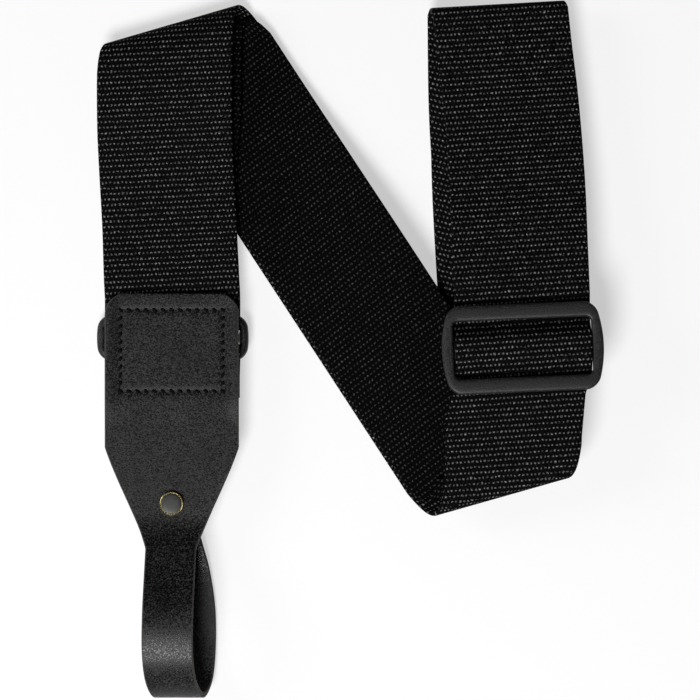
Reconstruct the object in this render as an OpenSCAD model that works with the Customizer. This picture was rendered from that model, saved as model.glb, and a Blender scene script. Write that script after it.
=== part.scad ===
// Guitar strap with a leather headstock loop, laid down folded.
// One long webbing runs from the slider, round the ring and back through the slider to the button end.
// The part lies on a table: +Z is up and +Y runs from the loop to the folds.
// The origin is at the middle of its footprint.

/* [Webbing] */
// Width of the webbing
web_w = 50.8; // [46:0.2:56]
// Thickness of the webbing
web_t = 1.6; // [1.2:0.1:1.8]
// Clearance between neighbouring layers, and between webbing and hardware
layer_gap = 0.4; // [0.3:0.05:0.6]

/* [Leather] */
// Thickness of the headstock leather
leather_t = 2.2; // [1.6:0.1:2.6]
// How far the sides of the leather stand inside the webbing's edges
panel_inset = 0.2; // [0:0.1:3]
// Radius of the panel's two top corners
panel_corner_r = 8; // [3:0.5:12]
// How far the panel reaches past the webbing bar of the ring
panel_flap = 10; // [6:0.5:14]
// Width of the loop strip and its tongue
strip_w = 19; // [14:0.5:24]
// Thickness of the button end's leather
end_t = 2.4; // [1.8:0.1:3]
// Length of the button end's leather
end_len = 100; // [88:1:110]
// Length of the button end that overlaps the webbing
end_overlap = 40; // [30:1:46]
// Diameter of the button hole
button_d = 7; // [5:0.1:9]
// Length of the slit past the button hole
slit_len = 12; // [6:0.5:16]
// Width of the slit
slit_w = 1; // [0.6:0.1:1.6]
// Distance from the tip to the middle of the button hole
button_inset = 15; // [13:0.5:20]

/* [Ring] */
// Diameter of the two bars of the ring
ring_bar_d = 4.4; // [3.4:0.1:5]
// Distance between the two bars
ring_bar_gap = 13.5; // [12:0.5:18]
// Width of each side arm at its middle
ring_arm_w = 2.9; // [2.4:0.1:4]
// Radius of the rounded outside of each arm
ring_arm_r = 12; // [11:0.5:16]

/* [Slider] */
// Length of the slider's window along the strap
window_len = 21.4; // [20:0.2:26]
// Width of each outer bar along the strap
slider_bar_w = 5.8; // [4.5:0.1:7]
// Thickness of the outer bars
slider_bar_t = 3.4; // [2.8:0.1:4.2]
// Width of the side arms
slider_arm_w = 4.4; // [3.2:0.1:4.8]
// Radius of the bow of the side arms
slider_bow_r = 46; // [42:1:80]
// Thickness of the centre bar
centre_bar_t = 3; // [2.4:0.1:3.6]
// Width of the centre bar along the strap
centre_bar_w = 7; // [5:0.2:7.6]
// How far the centre bar sits below the outer bars
centre_drop = 2.6; // [2:0.1:3.4]

/* [Press stud] */
// Diameter of the cap
cap_d = 9; // [8:0.1:12]
// Height of the cap
cap_h = 1.7; // [1.2:0.1:2.4]
// Diameter of the socket and of the stud's flange
socket_d = 8.4; // [7:0.1:11]
// Height of the socket
socket_h = 2.4; // [2:0.1:3.2]
// Diameter of the hollow posts
post_d = 3.2; // [2.4:0.1:4]
// Diameter of the stud's head
stud_d = 4.4; // [3.6:0.1:5.2]
// Clearance between stud and socket
stud_gap = 0.3; // [0.2:0.05:0.4]

/* [Stitching] */
// Distance from one stitch to the next
stitch_pitch = 3.4; // [2.5:0.1:5]
// Length of one stitch
stitch_len = 2.2; // [1.5:0.1:2.4]
// Width of the thread
thread_w = 0.7; // [0.4:0.1:1]
// Width of the stitched box on the headstock panel
box_w = 38.5; // [30:0.5:42]
// Length of the stitched box on the headstock panel
box_len = 30.5; // [26:0.5:34]

/* [Hidden] */
$fn = 48;
eps = 0.01;

// Heights of the layers. A pitch is one layer of webbing and the clearance above it.
pitch = web_t + layer_gap;
half_t = web_t / 2;

// The ring lies level. The chape hangs on one bar, the webbing turns round the other.
ring_r = ring_bar_d / 2;
lift = 0.3;
turn_r = ring_r + layer_gap + half_t;
chape_r = turn_r + lift;
ring_z = chape_r + half_t;
ring_x = -67;
web_bar_y = 11;
chape_bar_y = web_bar_y - ring_bar_gap;
ring_inner = web_w / 2 + layer_gap;
ring_outer = ring_inner + ring_arm_w;

// The headstock panel rests on the upper leg of the chape.
panel_w = web_w - 2 * panel_inset;
panel_z = ring_z + chape_r + half_t + leather_t / 2;
panel_top_y = web_bar_y + panel_flap;
snap_y = -58;

// Layers under the crossing strands: button end, webbing tail and its two folds.
tail_z = end_t + half_t;
fifth_z = tail_z + pitch + layer_gap / 2;
fourth_z = fifth_z + pitch + layer_gap / 2;
cross_z = fourth_z + pitch + layer_gap;
pair_pitch = pitch + 0.2;
cross_in_z = cross_z + pair_pitch;
in_fold_h = 1.9 * pitch;
top_fold_h = in_fold_h + 3.6 * pitch;

// The slider rides above the crossing strands, turned with the strand that it holds.
slider_x = 64.3;
slider_y = 0.4;
slider_turn = 2.5;
run_low = -(slider_bar_t / 2 + layer_gap + half_t);
run_2_low = run_low - pitch;
run_3_low = run_2_low - pitch;
slider_z = cross_in_z + pitch - run_3_low;
bar_r = centre_bar_t / 2;
bar_flat = centre_bar_w / 2 - bar_r;
wrap_r = bar_r + layer_gap + half_t;
run_high = -centre_drop + wrap_r + pitch;
bar_mid = window_len / 2 + slider_bar_w / 2;
slider_end = bar_mid + slider_bar_w / 2;

// Small helpers.
function unit(v) = v / norm(v);
function left_of(d) = [-d[1], d[0]];
function mix(a, b, f) = a + (b - a) * f;
function smooth(f) = let (c = min(1, max(0, f))) c * c * (3 - 2 * c);
function flat(p) = [p[0], p[1]];
function sum_to(list, n) = n <= 0 ? 0 : list[n - 1] + sum_to(list, n - 1);

// A rung crosses a strip from its east edge to its west edge in a few even cells.
// A station is [x, y, z of the east edge, z of the west edge] on a leg's centre line.
cells = 4;
function across(east, west) = [for (k = [0:cells]) mix(east, west, k / cells)];
function rung(p, way, s) =
  let (reach = left_of(way) * s * web_w / 2)
  across([p[0] + reach[0], p[1] + reach[1], p[2]], [p[0] - reach[0], p[1] - reach[1], p[3]]);
function way_at(list, from, to, i) =
  let (a = i == 0 ? from : flat(list[i - 1]), b = i == len(list) - 1 ? to : flat(list[i + 1])) unit(b - a);
function leg(list, from, to, s) = [for (i = [0:len(list) - 1]) rung(list[i], way_at(list, from, to, i), s)];

// A fold rolls the strip over a line that halves the angle between two legs.
// The roll carries the strip a little way along that line, from the point where it goes in
// to the point where it comes out.
fold_steps = 10;
function edge_at(apex, way, out, deep, offset) =
  let (start = left_of(way) * offset) apex + start + way * ((-deep - start * out) / (way * out));
function fold_edge(apex, way_in, way_out, s, z_in, z_out, deep) =
  let (
    out = unit(way_in - way_out),
    a = edge_at(apex[0], way_in, out, deep, s * web_w / 2),
    b = edge_at(apex[1], way_out, out, deep, -s * web_w / 2)
  )
  [for (i = [0:fold_steps])
    let (turn = 180 * i / fold_steps, p = mix(a, b, i / fold_steps) + out * deep * sin(turn))
    [p[0], p[1], mix(z_in, z_out, (1 - cos(turn)) / 2)]];
function fold(apex, before, after, s, z_in, z_out, deep) =
  let (
    way_in = unit(apex[0] - flat(before)),
    way_out = unit(flat(after) - apex[1]),
    east = fold_edge(apex, way_in, way_out, s, z_in[0], z_out[0], deep),
    west = fold_edge(apex, way_in, way_out, -s, z_in[1], z_out[1], deep)
  )
  [for (i = [0:fold_steps]) across(east[i], west[i])];

// A strip with thickness, from its rungs. Normals come from the neighbouring points.
function middle(r) = (r[0] + r[cells]) / 2;
function point_normal(rungs, i, k) =
  let (
    along = rungs[min(len(rungs) - 1, i + 1)][k] - rungs[max(0, i - 1)][k],
    over = rungs[i][max(0, k - 1)] - rungs[i][min(cells, k + 1)]
  )
  unit(cross(along, over));
function sections(rungs, t) =
  [for (i = [0:len(rungs) - 1])
    let (n = [for (k = [0:cells]) point_normal(rungs, i, k) * t / 2])
    concat([for (k = [0:cells]) rungs[i][k] + n[k]], [for (k = [cells:-1:0]) rungs[i][k] - n[k]])];
function part_of(list, first, last) = [for (i = [first:last]) list[i]];
module strip(sects) {
  last = len(sects) - 1;
  m = 2 * (cells + 1);
  polyhedron(
    points = [for (s = sects) for (p = s) p],
    faces = concat(
      [for (k = [0:cells - 1]) each [[k, k + 1, m - 2 - k], [k, m - 2 - k, m - 1 - k]]],
      [for (i = [0:last - 1]) for (k = [0:m - 1])
        let (a = m * i + k, b = m * i + (k + 1) % m) each [[a, a + m, b + m], [a, b + m, b]]],
      [for (k = [0:cells - 1]) let (a = m * last + k, b = m * last + m - 1 - k)
        each [[a, b - 1, a + 1], [a, b, b - 1]]]
    )
  );
}
function strip_length(rungs) =
  sum_to([for (i = [1:len(rungs) - 1]) norm(middle(rungs[i]) - middle(rungs[i - 1]))], len(rungs) - 1);

// Points of the folds, in plan, in the order in which the webbing meets them: where it goes in and comes out.
return_low = [[57.5, -49.6], [51.5, -51.7]];
return_top = [[-59.2, 117.8], [-66.4, 115.8]];
front_top = [[-69.4, 121.1], [-64.3, 122.8]];
front_low = [[52.9, -56], [60.6, -53.4]];
tail_top = [[56.3, 129], [54.6, 128.9]];
tail_low = [[59.5, -40], [59.5, -40]];
tail_inner = [[55.6, 111], [55.6, 111]];

// The diagonal strands lie on the table and climb onto the layers folded under the slider.
ramp_from = -25;
ramp_to = 27;
function over_stack(x) = (cross_z - half_t) * smooth((x - ramp_from) / (ramp_to - ramp_from));
function diagonal(start, way, far, low, s) =
  let (p = start + way * far, flat_rung = rung([p[0], p[1], low, low], way, s))
  [for (q = flat_rung) q + [0, 0, over_stack(q[0])]];

// The middle of the strap at a place along the slider, in plan. Below the window the strap bears to the left.
wave_half = bar_mid - slider_bar_w / 2 - layer_gap;
run_bend = 9.2;
run_bend_end = wave_half + run_bend;
run_side = layer_gap / 2;
run_drift = 2.6;
run_lean = 0.1;
slider_way = [-sin(slider_turn), cos(slider_turn)];
function on_slider(v) =
  let (
    in_window = min(wave_half, max(-wave_half, v)),
    bent = run_drift * smooth((-wave_half - v) / run_bend),
    leant = run_lean * min(0, v + run_bend_end)
  )
  [slider_x + run_side - sin(slider_turn) * in_window - bent + leant, slider_y + v];
function held(v, z) = let (p = on_slider(v)) rung([p[0], p[1], slider_z + z, slider_z + z], slider_way, -1);

// The wave of the running strand: under both outer bars and over the centre bar.
wave_flat = bar_flat + 1;
function wave(v) = mix(run_high, run_low, smooth((abs(v) - wave_flat) / (wave_half - wave_flat)));
wave_steps = 14;

// Leg 0: the sewn end, round the centre bar and back down under it.
sewn_len = 13;
wrap_steps = 8;
clear_v = wave_half - 1.6;
leg_0_held = concat(
  [for (v = [slider_end + sewn_len, slider_end + 7, slider_end + 3, bar_mid, wave_half]) held(-v, run_2_low)],
  [held(-clear_v, run_2_low)],
  [for (a = [150, 120, 90]) held(-bar_flat + wrap_r * cos(a), -centre_drop + wrap_r * sin(a))],
  [for (i = [0:wrap_steps]) let (a = 90 - 180 * i / wrap_steps)
    held(bar_flat + wrap_r * cos(a), -centre_drop + wrap_r * sin(a))],
  [held(-bar_flat, -centre_drop - wrap_r)],
  [for (v = [-clear_v, -wave_half, -bar_mid, -(slider_end + 3), -(slider_end + 8)]) held(v, run_3_low)]
);
leg_0_end = [59.4, -33, slider_z + run_3_low, slider_z + run_3_low];
leg_0 = concat(leg_0_held, leg([leg_0_end], on_slider(-(slider_end + 8)), return_low[0], 1));

// Leg 1 climbs back along the diagonal, leg 2 comes down to the ring.
return_way = unit(return_top[0] - return_low[1]);
leg_1_far = [16, 30, 45, 58, 70, 82, 94, 106, 118, 130, 155, 182];
leg_1 = [for (far = leg_1_far) diagonal(return_low[1], return_way, far, half_t + pair_pitch, -1)];
first_top = in_fold_h + pair_pitch + half_t;
leg_2 = [
  [-66.4, 94, first_top - 0.6, first_top - 0.8],
  [-67.8, 71, half_t + 2.2 * pitch, half_t + 2.2 * pitch],
  [-68, 46, half_t + 2.2 * pitch, half_t + 2.2 * pitch],
  [-67.4, 27, ring_z - turn_r + 0.2, ring_z - turn_r + 0.2],
  [-67, 18, ring_z - turn_r, ring_z - turn_r]
];
// Leg 3 goes up in front, leg 4 crosses below leg 1.
front_top_z = half_t + top_fold_h;
leg_3 = [
  [-67, 18, ring_z + turn_r, ring_z + turn_r],
  [-67.4, 27, ring_z + turn_r, ring_z + turn_r],
  [-68, 46, half_t + 3.5 * pitch, half_t + 3.5 * pitch],
  [-69.2, 70, half_t + 4.1 * pitch, half_t + 4.1 * pitch],
  [-69.7, 86, front_top_z - 1, front_top_z - 1],
  [-69.7, 98, front_top_z, front_top_z]
];
diagonal_way = unit(front_low[0] - front_top[1]);
leg_4_far = [24, 55, 82, 94, 106, 118, 130, 142, 154, 166, 178, 192];
leg_4 = [for (far = leg_4_far) diagonal(front_top[1], diagonal_way, far, half_t, 1)];
// Leg 5 runs up through the slider.
run_top = fourth_z + in_fold_h;
leg_5_start = [61.2, -31, slider_z + run_low, slider_z + run_low];
leg_5_top = [for (p = [[63.4, 42, 0.25], [62.6, 64, 0.6], [60.3, 94, 0.95], [58, 113, 1]])
  let (z = mix(slider_z + run_low, run_top, p[2])) [p[0], p[1], z, z]];
leg_5 = concat(
  leg([leg_5_start], front_low[1], on_slider(-slider_end - 3), -1),
  [for (v = [-slider_end - 3, -bar_mid]) held(v, run_low)],
  [for (i = [0:wave_steps]) let (v = wave_half * (2 * i / wave_steps - 1)) held(v, wave(v))],
  [for (v = [bar_mid, slider_end + 3]) held(v, run_low)],
  leg(leg_5_top, on_slider(slider_end + 3), tail_top[0], -1)
);
// Legs 6, 7 and 8 are folded away under the strand in front, and end on the button end.
leg_6 = [
  [54.7, 112, fourth_z, fourth_z],
  [55.1, 90, fourth_z, fourth_z],
  [56.8, 60, fourth_z, fourth_z],
  [58.9, 24, fourth_z, fourth_z],
  [60, -20, fourth_z, fourth_z]
];
leg_7 = [
  [59.4, -20, fifth_z, fifth_z],
  [58.6, 37, fifth_z, fifth_z],
  [56.1, 94, fifth_z, fifth_z]
];
end_top = [56.4, 58];
end_way = unit([58.7, 20] - end_top);
end_stop = end_top + end_way * end_overlap;
leg_8 = [
  [55.8, 98, half_t, half_t],
  [56, 82, half_t + 0.3, half_t + 0.3],
  [end_top[0], end_top[1] + 4, tail_z, tail_z],
  [end_stop[0], end_stop[1], tail_z, tail_z]
];

// The whole webbing in one list of rungs.
ring_turn = [for (i = [0:fold_steps]) let (a = -90 - 180 * i / fold_steps)
  let (z = ring_z + turn_r * sin(a)) rung([ring_x, web_bar_y + turn_r * cos(a), z, z], [0, 1], -1)];
function last(list) = list[len(list) - 1];
function ends(leg_list) = [last(leg_list)[2], last(leg_list)[3]];
function starts(leg_list) = [leg_list[0][2], leg_list[0][3]];
deep_in = 6.5;
deep_out = 10;
deep_tail = in_fold_h / 2;
web_parts = [
  leg_0,
  fold(return_low, leg_0_end, return_top[0], 1, ends([leg_0_end]), [cross_in_z, cross_in_z], deep_in),
  leg_1,
  fold(return_top, return_low[1], leg_2[0], -1, [half_t + pair_pitch, half_t + pair_pitch],
    [first_top, first_top - 0.4], deep_in),
  leg(leg_2, return_top[1], [ring_x, web_bar_y], 1),
  ring_turn,
  leg(leg_3, [ring_x, web_bar_y], front_top[0], -1),
  fold(front_top, last(leg_3), front_low[0], -1, ends(leg_3), [half_t, half_t], deep_out),
  leg_4,
  fold(front_low, front_top[1], leg_5_start, 1, [cross_z, cross_z], ends([leg_5_start]), deep_out),
  leg_5,
  fold(tail_top, last(leg_5_top), leg_6[0], -1, ends(leg_5_top), starts(leg_6), deep_tail),
  leg(leg_6, tail_top[1], tail_low[0], 1),
  fold(tail_low, last(leg_6), leg_7[0], 1, ends(leg_6), starts(leg_7), pitch / 2 + 0.2),
  leg(leg_7, tail_low[1], tail_inner[0], -1),
  fold(tail_inner, last(leg_7), leg_8[0], -1, ends(leg_7), starts(leg_8), deep_tail),
  leg(leg_8, tail_inner[1], end_stop + end_way * 10, 1)
];
web_rungs = [for (p = web_parts) each p];
web_sections = sections(web_rungs, web_t);
web_counts = [for (p = web_parts) len(p)];
function part_start(p) = sum_to(web_counts, p);
ring_cut = part_start(5) + fold_steps / 2;
echo(webbing_length = strip_length(web_rungs));

module webbing_return_end() color("#161616") strip(part_of(web_sections, 0, part_start(1)));
module webbing_return() color("#161616") strip(part_of(web_sections, part_start(1), ring_cut));
module webbing_front() color("#161616") strip(part_of(web_sections, ring_cut, part_start(10)));
module webbing_slider_run() color("#161616") strip(part_of(web_sections, part_start(10), part_start(11)));
module webbing_tail() color("#161616") strip(part_of(web_sections, part_start(11), len(web_sections) - 1));

// A closed run of stitches round a rectangle, each a short flat bar on the surface.
module stitch_row(length, t) {
  count = floor(length / stitch_pitch);
  for (i = [0:count - 1])
    translate([(i - (count - 1) / 2) * stitch_pitch, 0, 0])
      translate([-stitch_len / 2, -thread_w / 2, 0]) cube([stitch_len, thread_w, t]);
}
module stitch_box(w, l, t) {
  for (s = [-1, 1]) {
    translate([0, s * l / 2, 0]) stitch_row(w - stitch_pitch, t);
    translate([s * w / 2, 0, 0]) rotate([0, 0, 90]) stitch_row(l - stitch_pitch, t);
  }
}

// Button end: a leather tongue with a round hole and a slit, sewn under the end of the webbing.
end_turn = atan2(end_way[0], -end_way[1]);
tip_r = 17;
shoulder_flare = 5;
end_shoulder = end_overlap + 18;
end_box_margin = 14;
module on_end() translate([end_top[0], end_top[1], 0]) rotate([0, 0, end_turn]) children();
// Both sides of the outline, from the overlap down to the tip's arc.
tip_from = 14;
tip_steps = 24;
end_tip = [for (i = [0:tip_steps]) let (a = -tip_from - (180 - 2 * tip_from) * i / tip_steps)
  [tip_r * cos(a), tip_r * sin(a) - (end_len - tip_r)]];
module end_outline() {
  half = panel_w / 2;
  neck = tip_r + shoulder_flare;
  difference() {
    polygon(concat(
      [[-half, 0], [half, 0], [half, -end_overlap], [neck, -end_shoulder]],
      end_tip,
      [[-neck, -end_shoulder], [-half, -end_overlap]]
    ));
    translate([0, -(end_len - button_inset)]) circle(d = button_d);
    translate([-slit_w / 2, -(end_len - button_inset)]) square([slit_w, button_d / 2 + slit_len]);
  }
}
module button_end_leather() color("#1b1a19") on_end() linear_extrude(end_t) end_outline();
end_thread_t = layer_gap / 2;
module button_end_stitching() color("#0c0c0c")
  on_end() translate([0, -end_overlap / 2 - 1, end_t + web_t])
    stitch_box(box_w, end_overlap - end_box_margin, end_thread_t);

// Ring: two round bars and two bowed arms, moulded in one piece.
ring_l = ring_bar_gap + ring_bar_d;
module ring_outline() intersection() {
  square([2 * ring_outer, ring_l], center = true);
  translate([ring_outer - ring_arm_r, 0]) circle(ring_arm_r);
}
module strap_ring() color("#1c1c1d")
  translate([ring_x, (web_bar_y + chape_bar_y) / 2, ring_z]) {
    for (s = [0, 1]) mirror([s, 0, 0])
      translate([0, 0, -ring_r]) linear_extrude(ring_bar_d) intersection() {
        ring_outline();
        translate([ring_inner, -ring_l]) square([ring_outer, 2 * ring_l]);
      }
    for (s = [-1, 1]) translate([-ring_inner - 0.8, s * ring_bar_gap / 2, 0])
      rotate([0, 90, 0]) cylinder(r = ring_r, h = 2 * (ring_inner + 0.8));
  }

// Headstock leather: panel, taper, and the strip that bends back into a loop. Its centre line in [x, y, z].
panel_x = ring_x;
flat_end = -66;
taper_start = -37;
taper_end = -75;
tongue_z = panel_z - leather_t - socket_h - 0.8;
floor_z = leather_t / 2;
loop_line = [
  [0, flat_end, panel_z],
  [-0.4, -82, panel_z + 6],
  [-0.8, -98, panel_z + 12],
  [-0.9, -113, panel_z + 12],
  [0.1, -125, panel_z + 7],
  [2.8, -130.2, panel_z - 0.5],
  [5.5, -125, floor_z + 2],
  [6.6, -113, floor_z + 0.2],
  [6.4, -98, floor_z + 0.2],
  [4.4, -84, floor_z + 1],
  [1.6, -73, tongue_z - 0.5],
  [0, flat_end, tongue_z]
];
hinge_index = 5;
curve_steps = 5;
function catmull(a, b, c, d, f) =
  0.5 * (2 * b + (c - a) * f + (2 * a - 5 * b + 4 * c - d) * f * f + (3 * b - a - 3 * c + d) * f * f * f);
loop_last = len(loop_line) - 1;
straight_in = [0, flat_end + 14, panel_z];
straight_out = [0, flat_end + 14, tongue_z];
function loop_at(i) = i < 0 ? straight_in : i > loop_last ? straight_out : loop_line[i];
loop_points = concat(
  [for (i = [0:loop_last - 1]) for (k = [0:curve_steps - 1])
    catmull(loop_at(i - 1), loop_at(i), loop_at(i + 1), loop_at(i + 2), k / curve_steps)],
  [loop_line[loop_last]]
);
hinge_point = hinge_index * curve_steps;
// Half width of the leather at a place along the panel.
function taper_half(y) =
  let (f = (taper_start - y) / (taper_start - taper_end), in = (panel_w - strip_w) / 2)
  panel_w / 2 - in * (f <= 0 ? 0 : f >= 1 ? 1 : mix(f, smooth(f), 0.2));
function corner_half(d) = d >= panel_corner_r ? panel_w / 2
  : panel_w / 2 - panel_corner_r + sqrt(pow(panel_corner_r, 2) - pow(panel_corner_r - d, 2));
function leather_rung(p, half) =
  across([panel_x + p[0] + half, p[1], p[2]], [panel_x + p[0] - half, p[1], p[2]]);
corner_steps = 6;
panel_rungs = concat(
  [for (i = [0:corner_steps]) let (d = panel_corner_r * (1 - cos(90 * i / corner_steps)))
    leather_rung([0, panel_top_y - d, panel_z], max(corner_half(d), panel_w / 2 - panel_corner_r))],
  [for (y = [taper_start, -39, -43, -48, -54, -60]) leather_rung([0, y, panel_z], taper_half(y))]
);
loop_rungs = [for (i = [0:len(loop_points) - 1])
  leather_rung(loop_points[i], i < hinge_point ? taper_half(loop_points[i][1]) : strip_w / 2)];
tongue_end_y = -47;
tongue_r = strip_w / 2;
tongue_rungs = [for (i = [0:corner_steps]) let (a = 90 * i / corner_steps)
  leather_rung([0, tongue_end_y - tongue_r + tongue_r * sin(a), tongue_z], max(1.5, tongue_r * cos(a)))];
leather_sections = sections(concat(panel_rungs, loop_rungs, tongue_rungs), leather_t);
loop_start = len(panel_rungs);
hinge_section = loop_start + hinge_point;
module snap_hole(z) translate([panel_x, snap_y, z - leather_t]) cylinder(d = post_d + 0.2, h = 2 * leather_t);
module headstock_leather() color("#1d1c1b") difference() {
  strip(part_of(leather_sections, 0, hinge_section));
  snap_hole(panel_z);
}
tongue_first = [for (p = leather_sections[hinge_section]) mix(p, leather_sections[hinge_section + 1][0] + p
  - leather_sections[hinge_section][0], 0.2)];
module loop_tongue() color("#1d1c1b") difference() {
  strip(concat([tongue_first], part_of(leather_sections, hinge_section + 1, len(leather_sections) - 1)));
  snap_hole(tongue_z);
}

// Chape: a short webbing loop round the lower bar, sewn under the panel.
chape_end_y = -18.4;
chape_join_y = chape_bar_y - 8;
upper_leg_z = ring_z + chape_r;
lower_leg_z = upper_leg_z - pitch;
function chape_rung(y, z) = across([ring_x + web_w / 2, y, z], [ring_x - web_w / 2, y, z]);
chape_rungs = concat(
  [for (y = [chape_end_y, chape_join_y, chape_bar_y - 3]) chape_rung(y, upper_leg_z)],
  [for (i = [0:fold_steps]) let (a = 90 - 180 * i / fold_steps)
    chape_rung(chape_bar_y + chape_r * cos(a), ring_z + chape_r * sin(a))],
  [chape_rung(chape_bar_y - 2, ring_z - chape_r + 0.4)],
  [for (y = [chape_join_y, chape_end_y]) chape_rung(y, lower_leg_z)]
);
module ring_chape() color("#161616") strip(sections(chape_rungs, web_t));

// Stitched box on the panel.
box_y = -0.6;
thread_t = 0.4;
module headstock_stitching() color("#0c0c0c")
  translate([panel_x, box_y, panel_z + leather_t / 2]) stitch_box(box_w, box_len, thread_t);

// Press stud: cap and socket on the panel, stud and post on the tongue.
panel_face = panel_z + leather_t / 2;
panel_back = panel_z - leather_t / 2;
tongue_face = tongue_z + leather_t / 2;
tongue_back = tongue_z - leather_t / 2;
flange_t = 0.6;
recess_h = 1.6;
dome_r = (pow(cap_d / 2, 2) + pow(cap_h / 2, 2)) / cap_h;
module at_snap(z) translate([panel_x, snap_y, z]) children();
module snap_cap() color("#8d8672") at_snap(panel_face) {
  cylinder(d = cap_d, h = cap_h / 2);
  translate([0, 0, cap_h / 2]) intersection() {
    cylinder(d = cap_d - 0.6, h = cap_h);
    translate([0, 0, cap_h / 2 - dome_r]) sphere(r = dome_r);
  }
  translate([0, 0, -leather_t]) cylinder(d = post_d, h = leather_t + eps);
}
module snap_socket() color("#8d8672") at_snap(panel_back - socket_h) difference() {
  cylinder(d = socket_d, h = socket_h);
  translate([0, 0, -eps]) cylinder(d = stud_d + 2 * stud_gap, h = recess_h + eps);
}
module snap_stud() color("#8d8672") at_snap(tongue_face) {
  cylinder(d = socket_d, h = flange_t);
  cylinder(d = stud_d - 0.8, h = flange_t + 0.9);
  translate([0, 0, flange_t + 0.6]) cylinder(d = stud_d, h = 0.7);
}
module snap_post() color("#8d8672") at_snap(tongue_back) {
  translate([0, 0, -flange_t]) cylinder(d = socket_d, h = flange_t);
  translate([0, 0, -eps]) cylinder(d = post_d, h = leather_t + eps);
}

// Slider: two outer bars, two bowed arms and a lower centre bar, moulded in one piece.
arm_inner = web_w / 2 + layer_gap;
slider_half = arm_inner + slider_arm_w;
bow_x = slider_half - slider_bow_r;
corner_x = bow_x + sqrt(pow(slider_bow_r, 2) - pow(slider_end, 2));
corner_cut = 2.2;
window_r = 2;
arm_t = slider_bar_t - 0.6;
bar_land = 0.3;
module stadium(w, t) {
  square([w - t, t], center = true);
  for (s = [-1, 1]) translate([s * (w - t) / 2, 0]) circle(d = t);
}
module slider_plan() difference() {
  intersection() {
    square([2 * slider_half, 2 * slider_end], center = true);
    translate([bow_x, 0]) circle(slider_bow_r, $fn = 96);
    translate([-bow_x, 0]) circle(slider_bow_r, $fn = 96);
    rotate(45) square((corner_x + slider_end - corner_cut) * sqrt(2), center = true);
  }
  square([2 * (arm_inner - window_r), window_len], center = true);
  square([2 * arm_inner, window_len - 2 * window_r], center = true);
  for (x = [-1, 1], y = [-1, 1])
    translate([x * (arm_inner - window_r), y * (window_len / 2 - window_r)]) circle(window_r);
}
// Drawn across the strap: along it, and up.
module along_bars(length)
  rotate([90, 0, 90]) translate([0, 0, -length / 2]) linear_extrude(length) children();
module slider_section() {
  for (s = [-1, 1]) translate([s * bar_mid, 0]) stadium(slider_bar_w + 2 * bar_land, slider_bar_t);
  square([2 * bar_mid, arm_t], center = true);
}
riser_w = slider_arm_w - 1.2;
module slider_frame() color("#1c1c1d")
  translate([slider_x, slider_y, slider_z]) rotate([0, 0, slider_turn]) {
    intersection() {
      translate([0, 0, -slider_bar_t]) linear_extrude(2 * slider_bar_t) slider_plan();
      along_bars(3 * slider_half) slider_section();
    }
    translate([0, 0, -centre_drop])
      along_bars(2 * arm_inner + slider_arm_w) stadium(centre_bar_w, centre_bar_t);
    for (s = [-1, 1]) translate([s * (arm_inner + 0.4 + riser_w / 2), 0, -centre_drop / 2 - 0.1])
      cube([riser_w, centre_bar_w - 1, centre_drop + centre_bar_t - 0.6], center = true);
  }

// Stitches that close the sewn end round the centre bar.
sewn_margin = 7;
module return_end_stitching() color("#0c0c0c")
  translate([each on_slider(-(slider_end + sewn_len / 2 + 1)), slider_z + run_2_low + half_t])
    rotate([0, 0, slider_turn]) stitch_box(box_w, sewn_len - sewn_margin, layer_gap / 2);

webbing_return_end();
webbing_return();
webbing_front();
webbing_slider_run();
webbing_tail();
button_end_leather();
button_end_stitching();
strap_ring();
headstock_leather();
ring_chape();
headstock_stitching();
snap_cap();
snap_socket();
loop_tongue();
snap_stud();
snap_post();
slider_frame();
return_end_stitching();
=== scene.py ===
# %% [markdown]
# # A guitar strap with a leather headstock loop
# The strap lies folded, the way it goes into its bag: one long webbing runs from a slider, round a ring and
# back through the slider, and a leather tab hangs on the ring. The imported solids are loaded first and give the
# frame. Every piece below is made in that frame and stands for the solid in the same place.

# %% Load the frame
import math

import bmesh
import bpy
import numpy as np
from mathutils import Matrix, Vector


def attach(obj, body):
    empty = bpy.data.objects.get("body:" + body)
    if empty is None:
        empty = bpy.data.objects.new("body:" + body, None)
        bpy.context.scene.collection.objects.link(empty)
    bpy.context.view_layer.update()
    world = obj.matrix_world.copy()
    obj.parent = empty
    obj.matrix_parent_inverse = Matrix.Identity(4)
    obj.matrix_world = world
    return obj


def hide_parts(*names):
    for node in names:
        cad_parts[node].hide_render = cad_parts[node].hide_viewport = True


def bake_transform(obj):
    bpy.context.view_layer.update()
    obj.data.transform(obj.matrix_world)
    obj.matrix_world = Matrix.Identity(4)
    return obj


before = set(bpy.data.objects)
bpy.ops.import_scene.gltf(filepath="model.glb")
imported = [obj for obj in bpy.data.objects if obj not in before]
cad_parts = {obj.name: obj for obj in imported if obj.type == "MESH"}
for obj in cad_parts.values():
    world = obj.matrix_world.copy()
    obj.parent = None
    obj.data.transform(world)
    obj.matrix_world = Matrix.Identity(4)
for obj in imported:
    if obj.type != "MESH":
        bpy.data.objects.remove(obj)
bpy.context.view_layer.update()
MM = 0.001

# %% [markdown]
# ## Camera
# The photograph looks straight down on the strap, with a little perspective: the sides that face the middle of
# the picture show. A camera without perspective would lose them, so an ordinary one stands about a metre above
# the table. The picture is square, and its width is worked out at the height of the upper strands.

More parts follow.
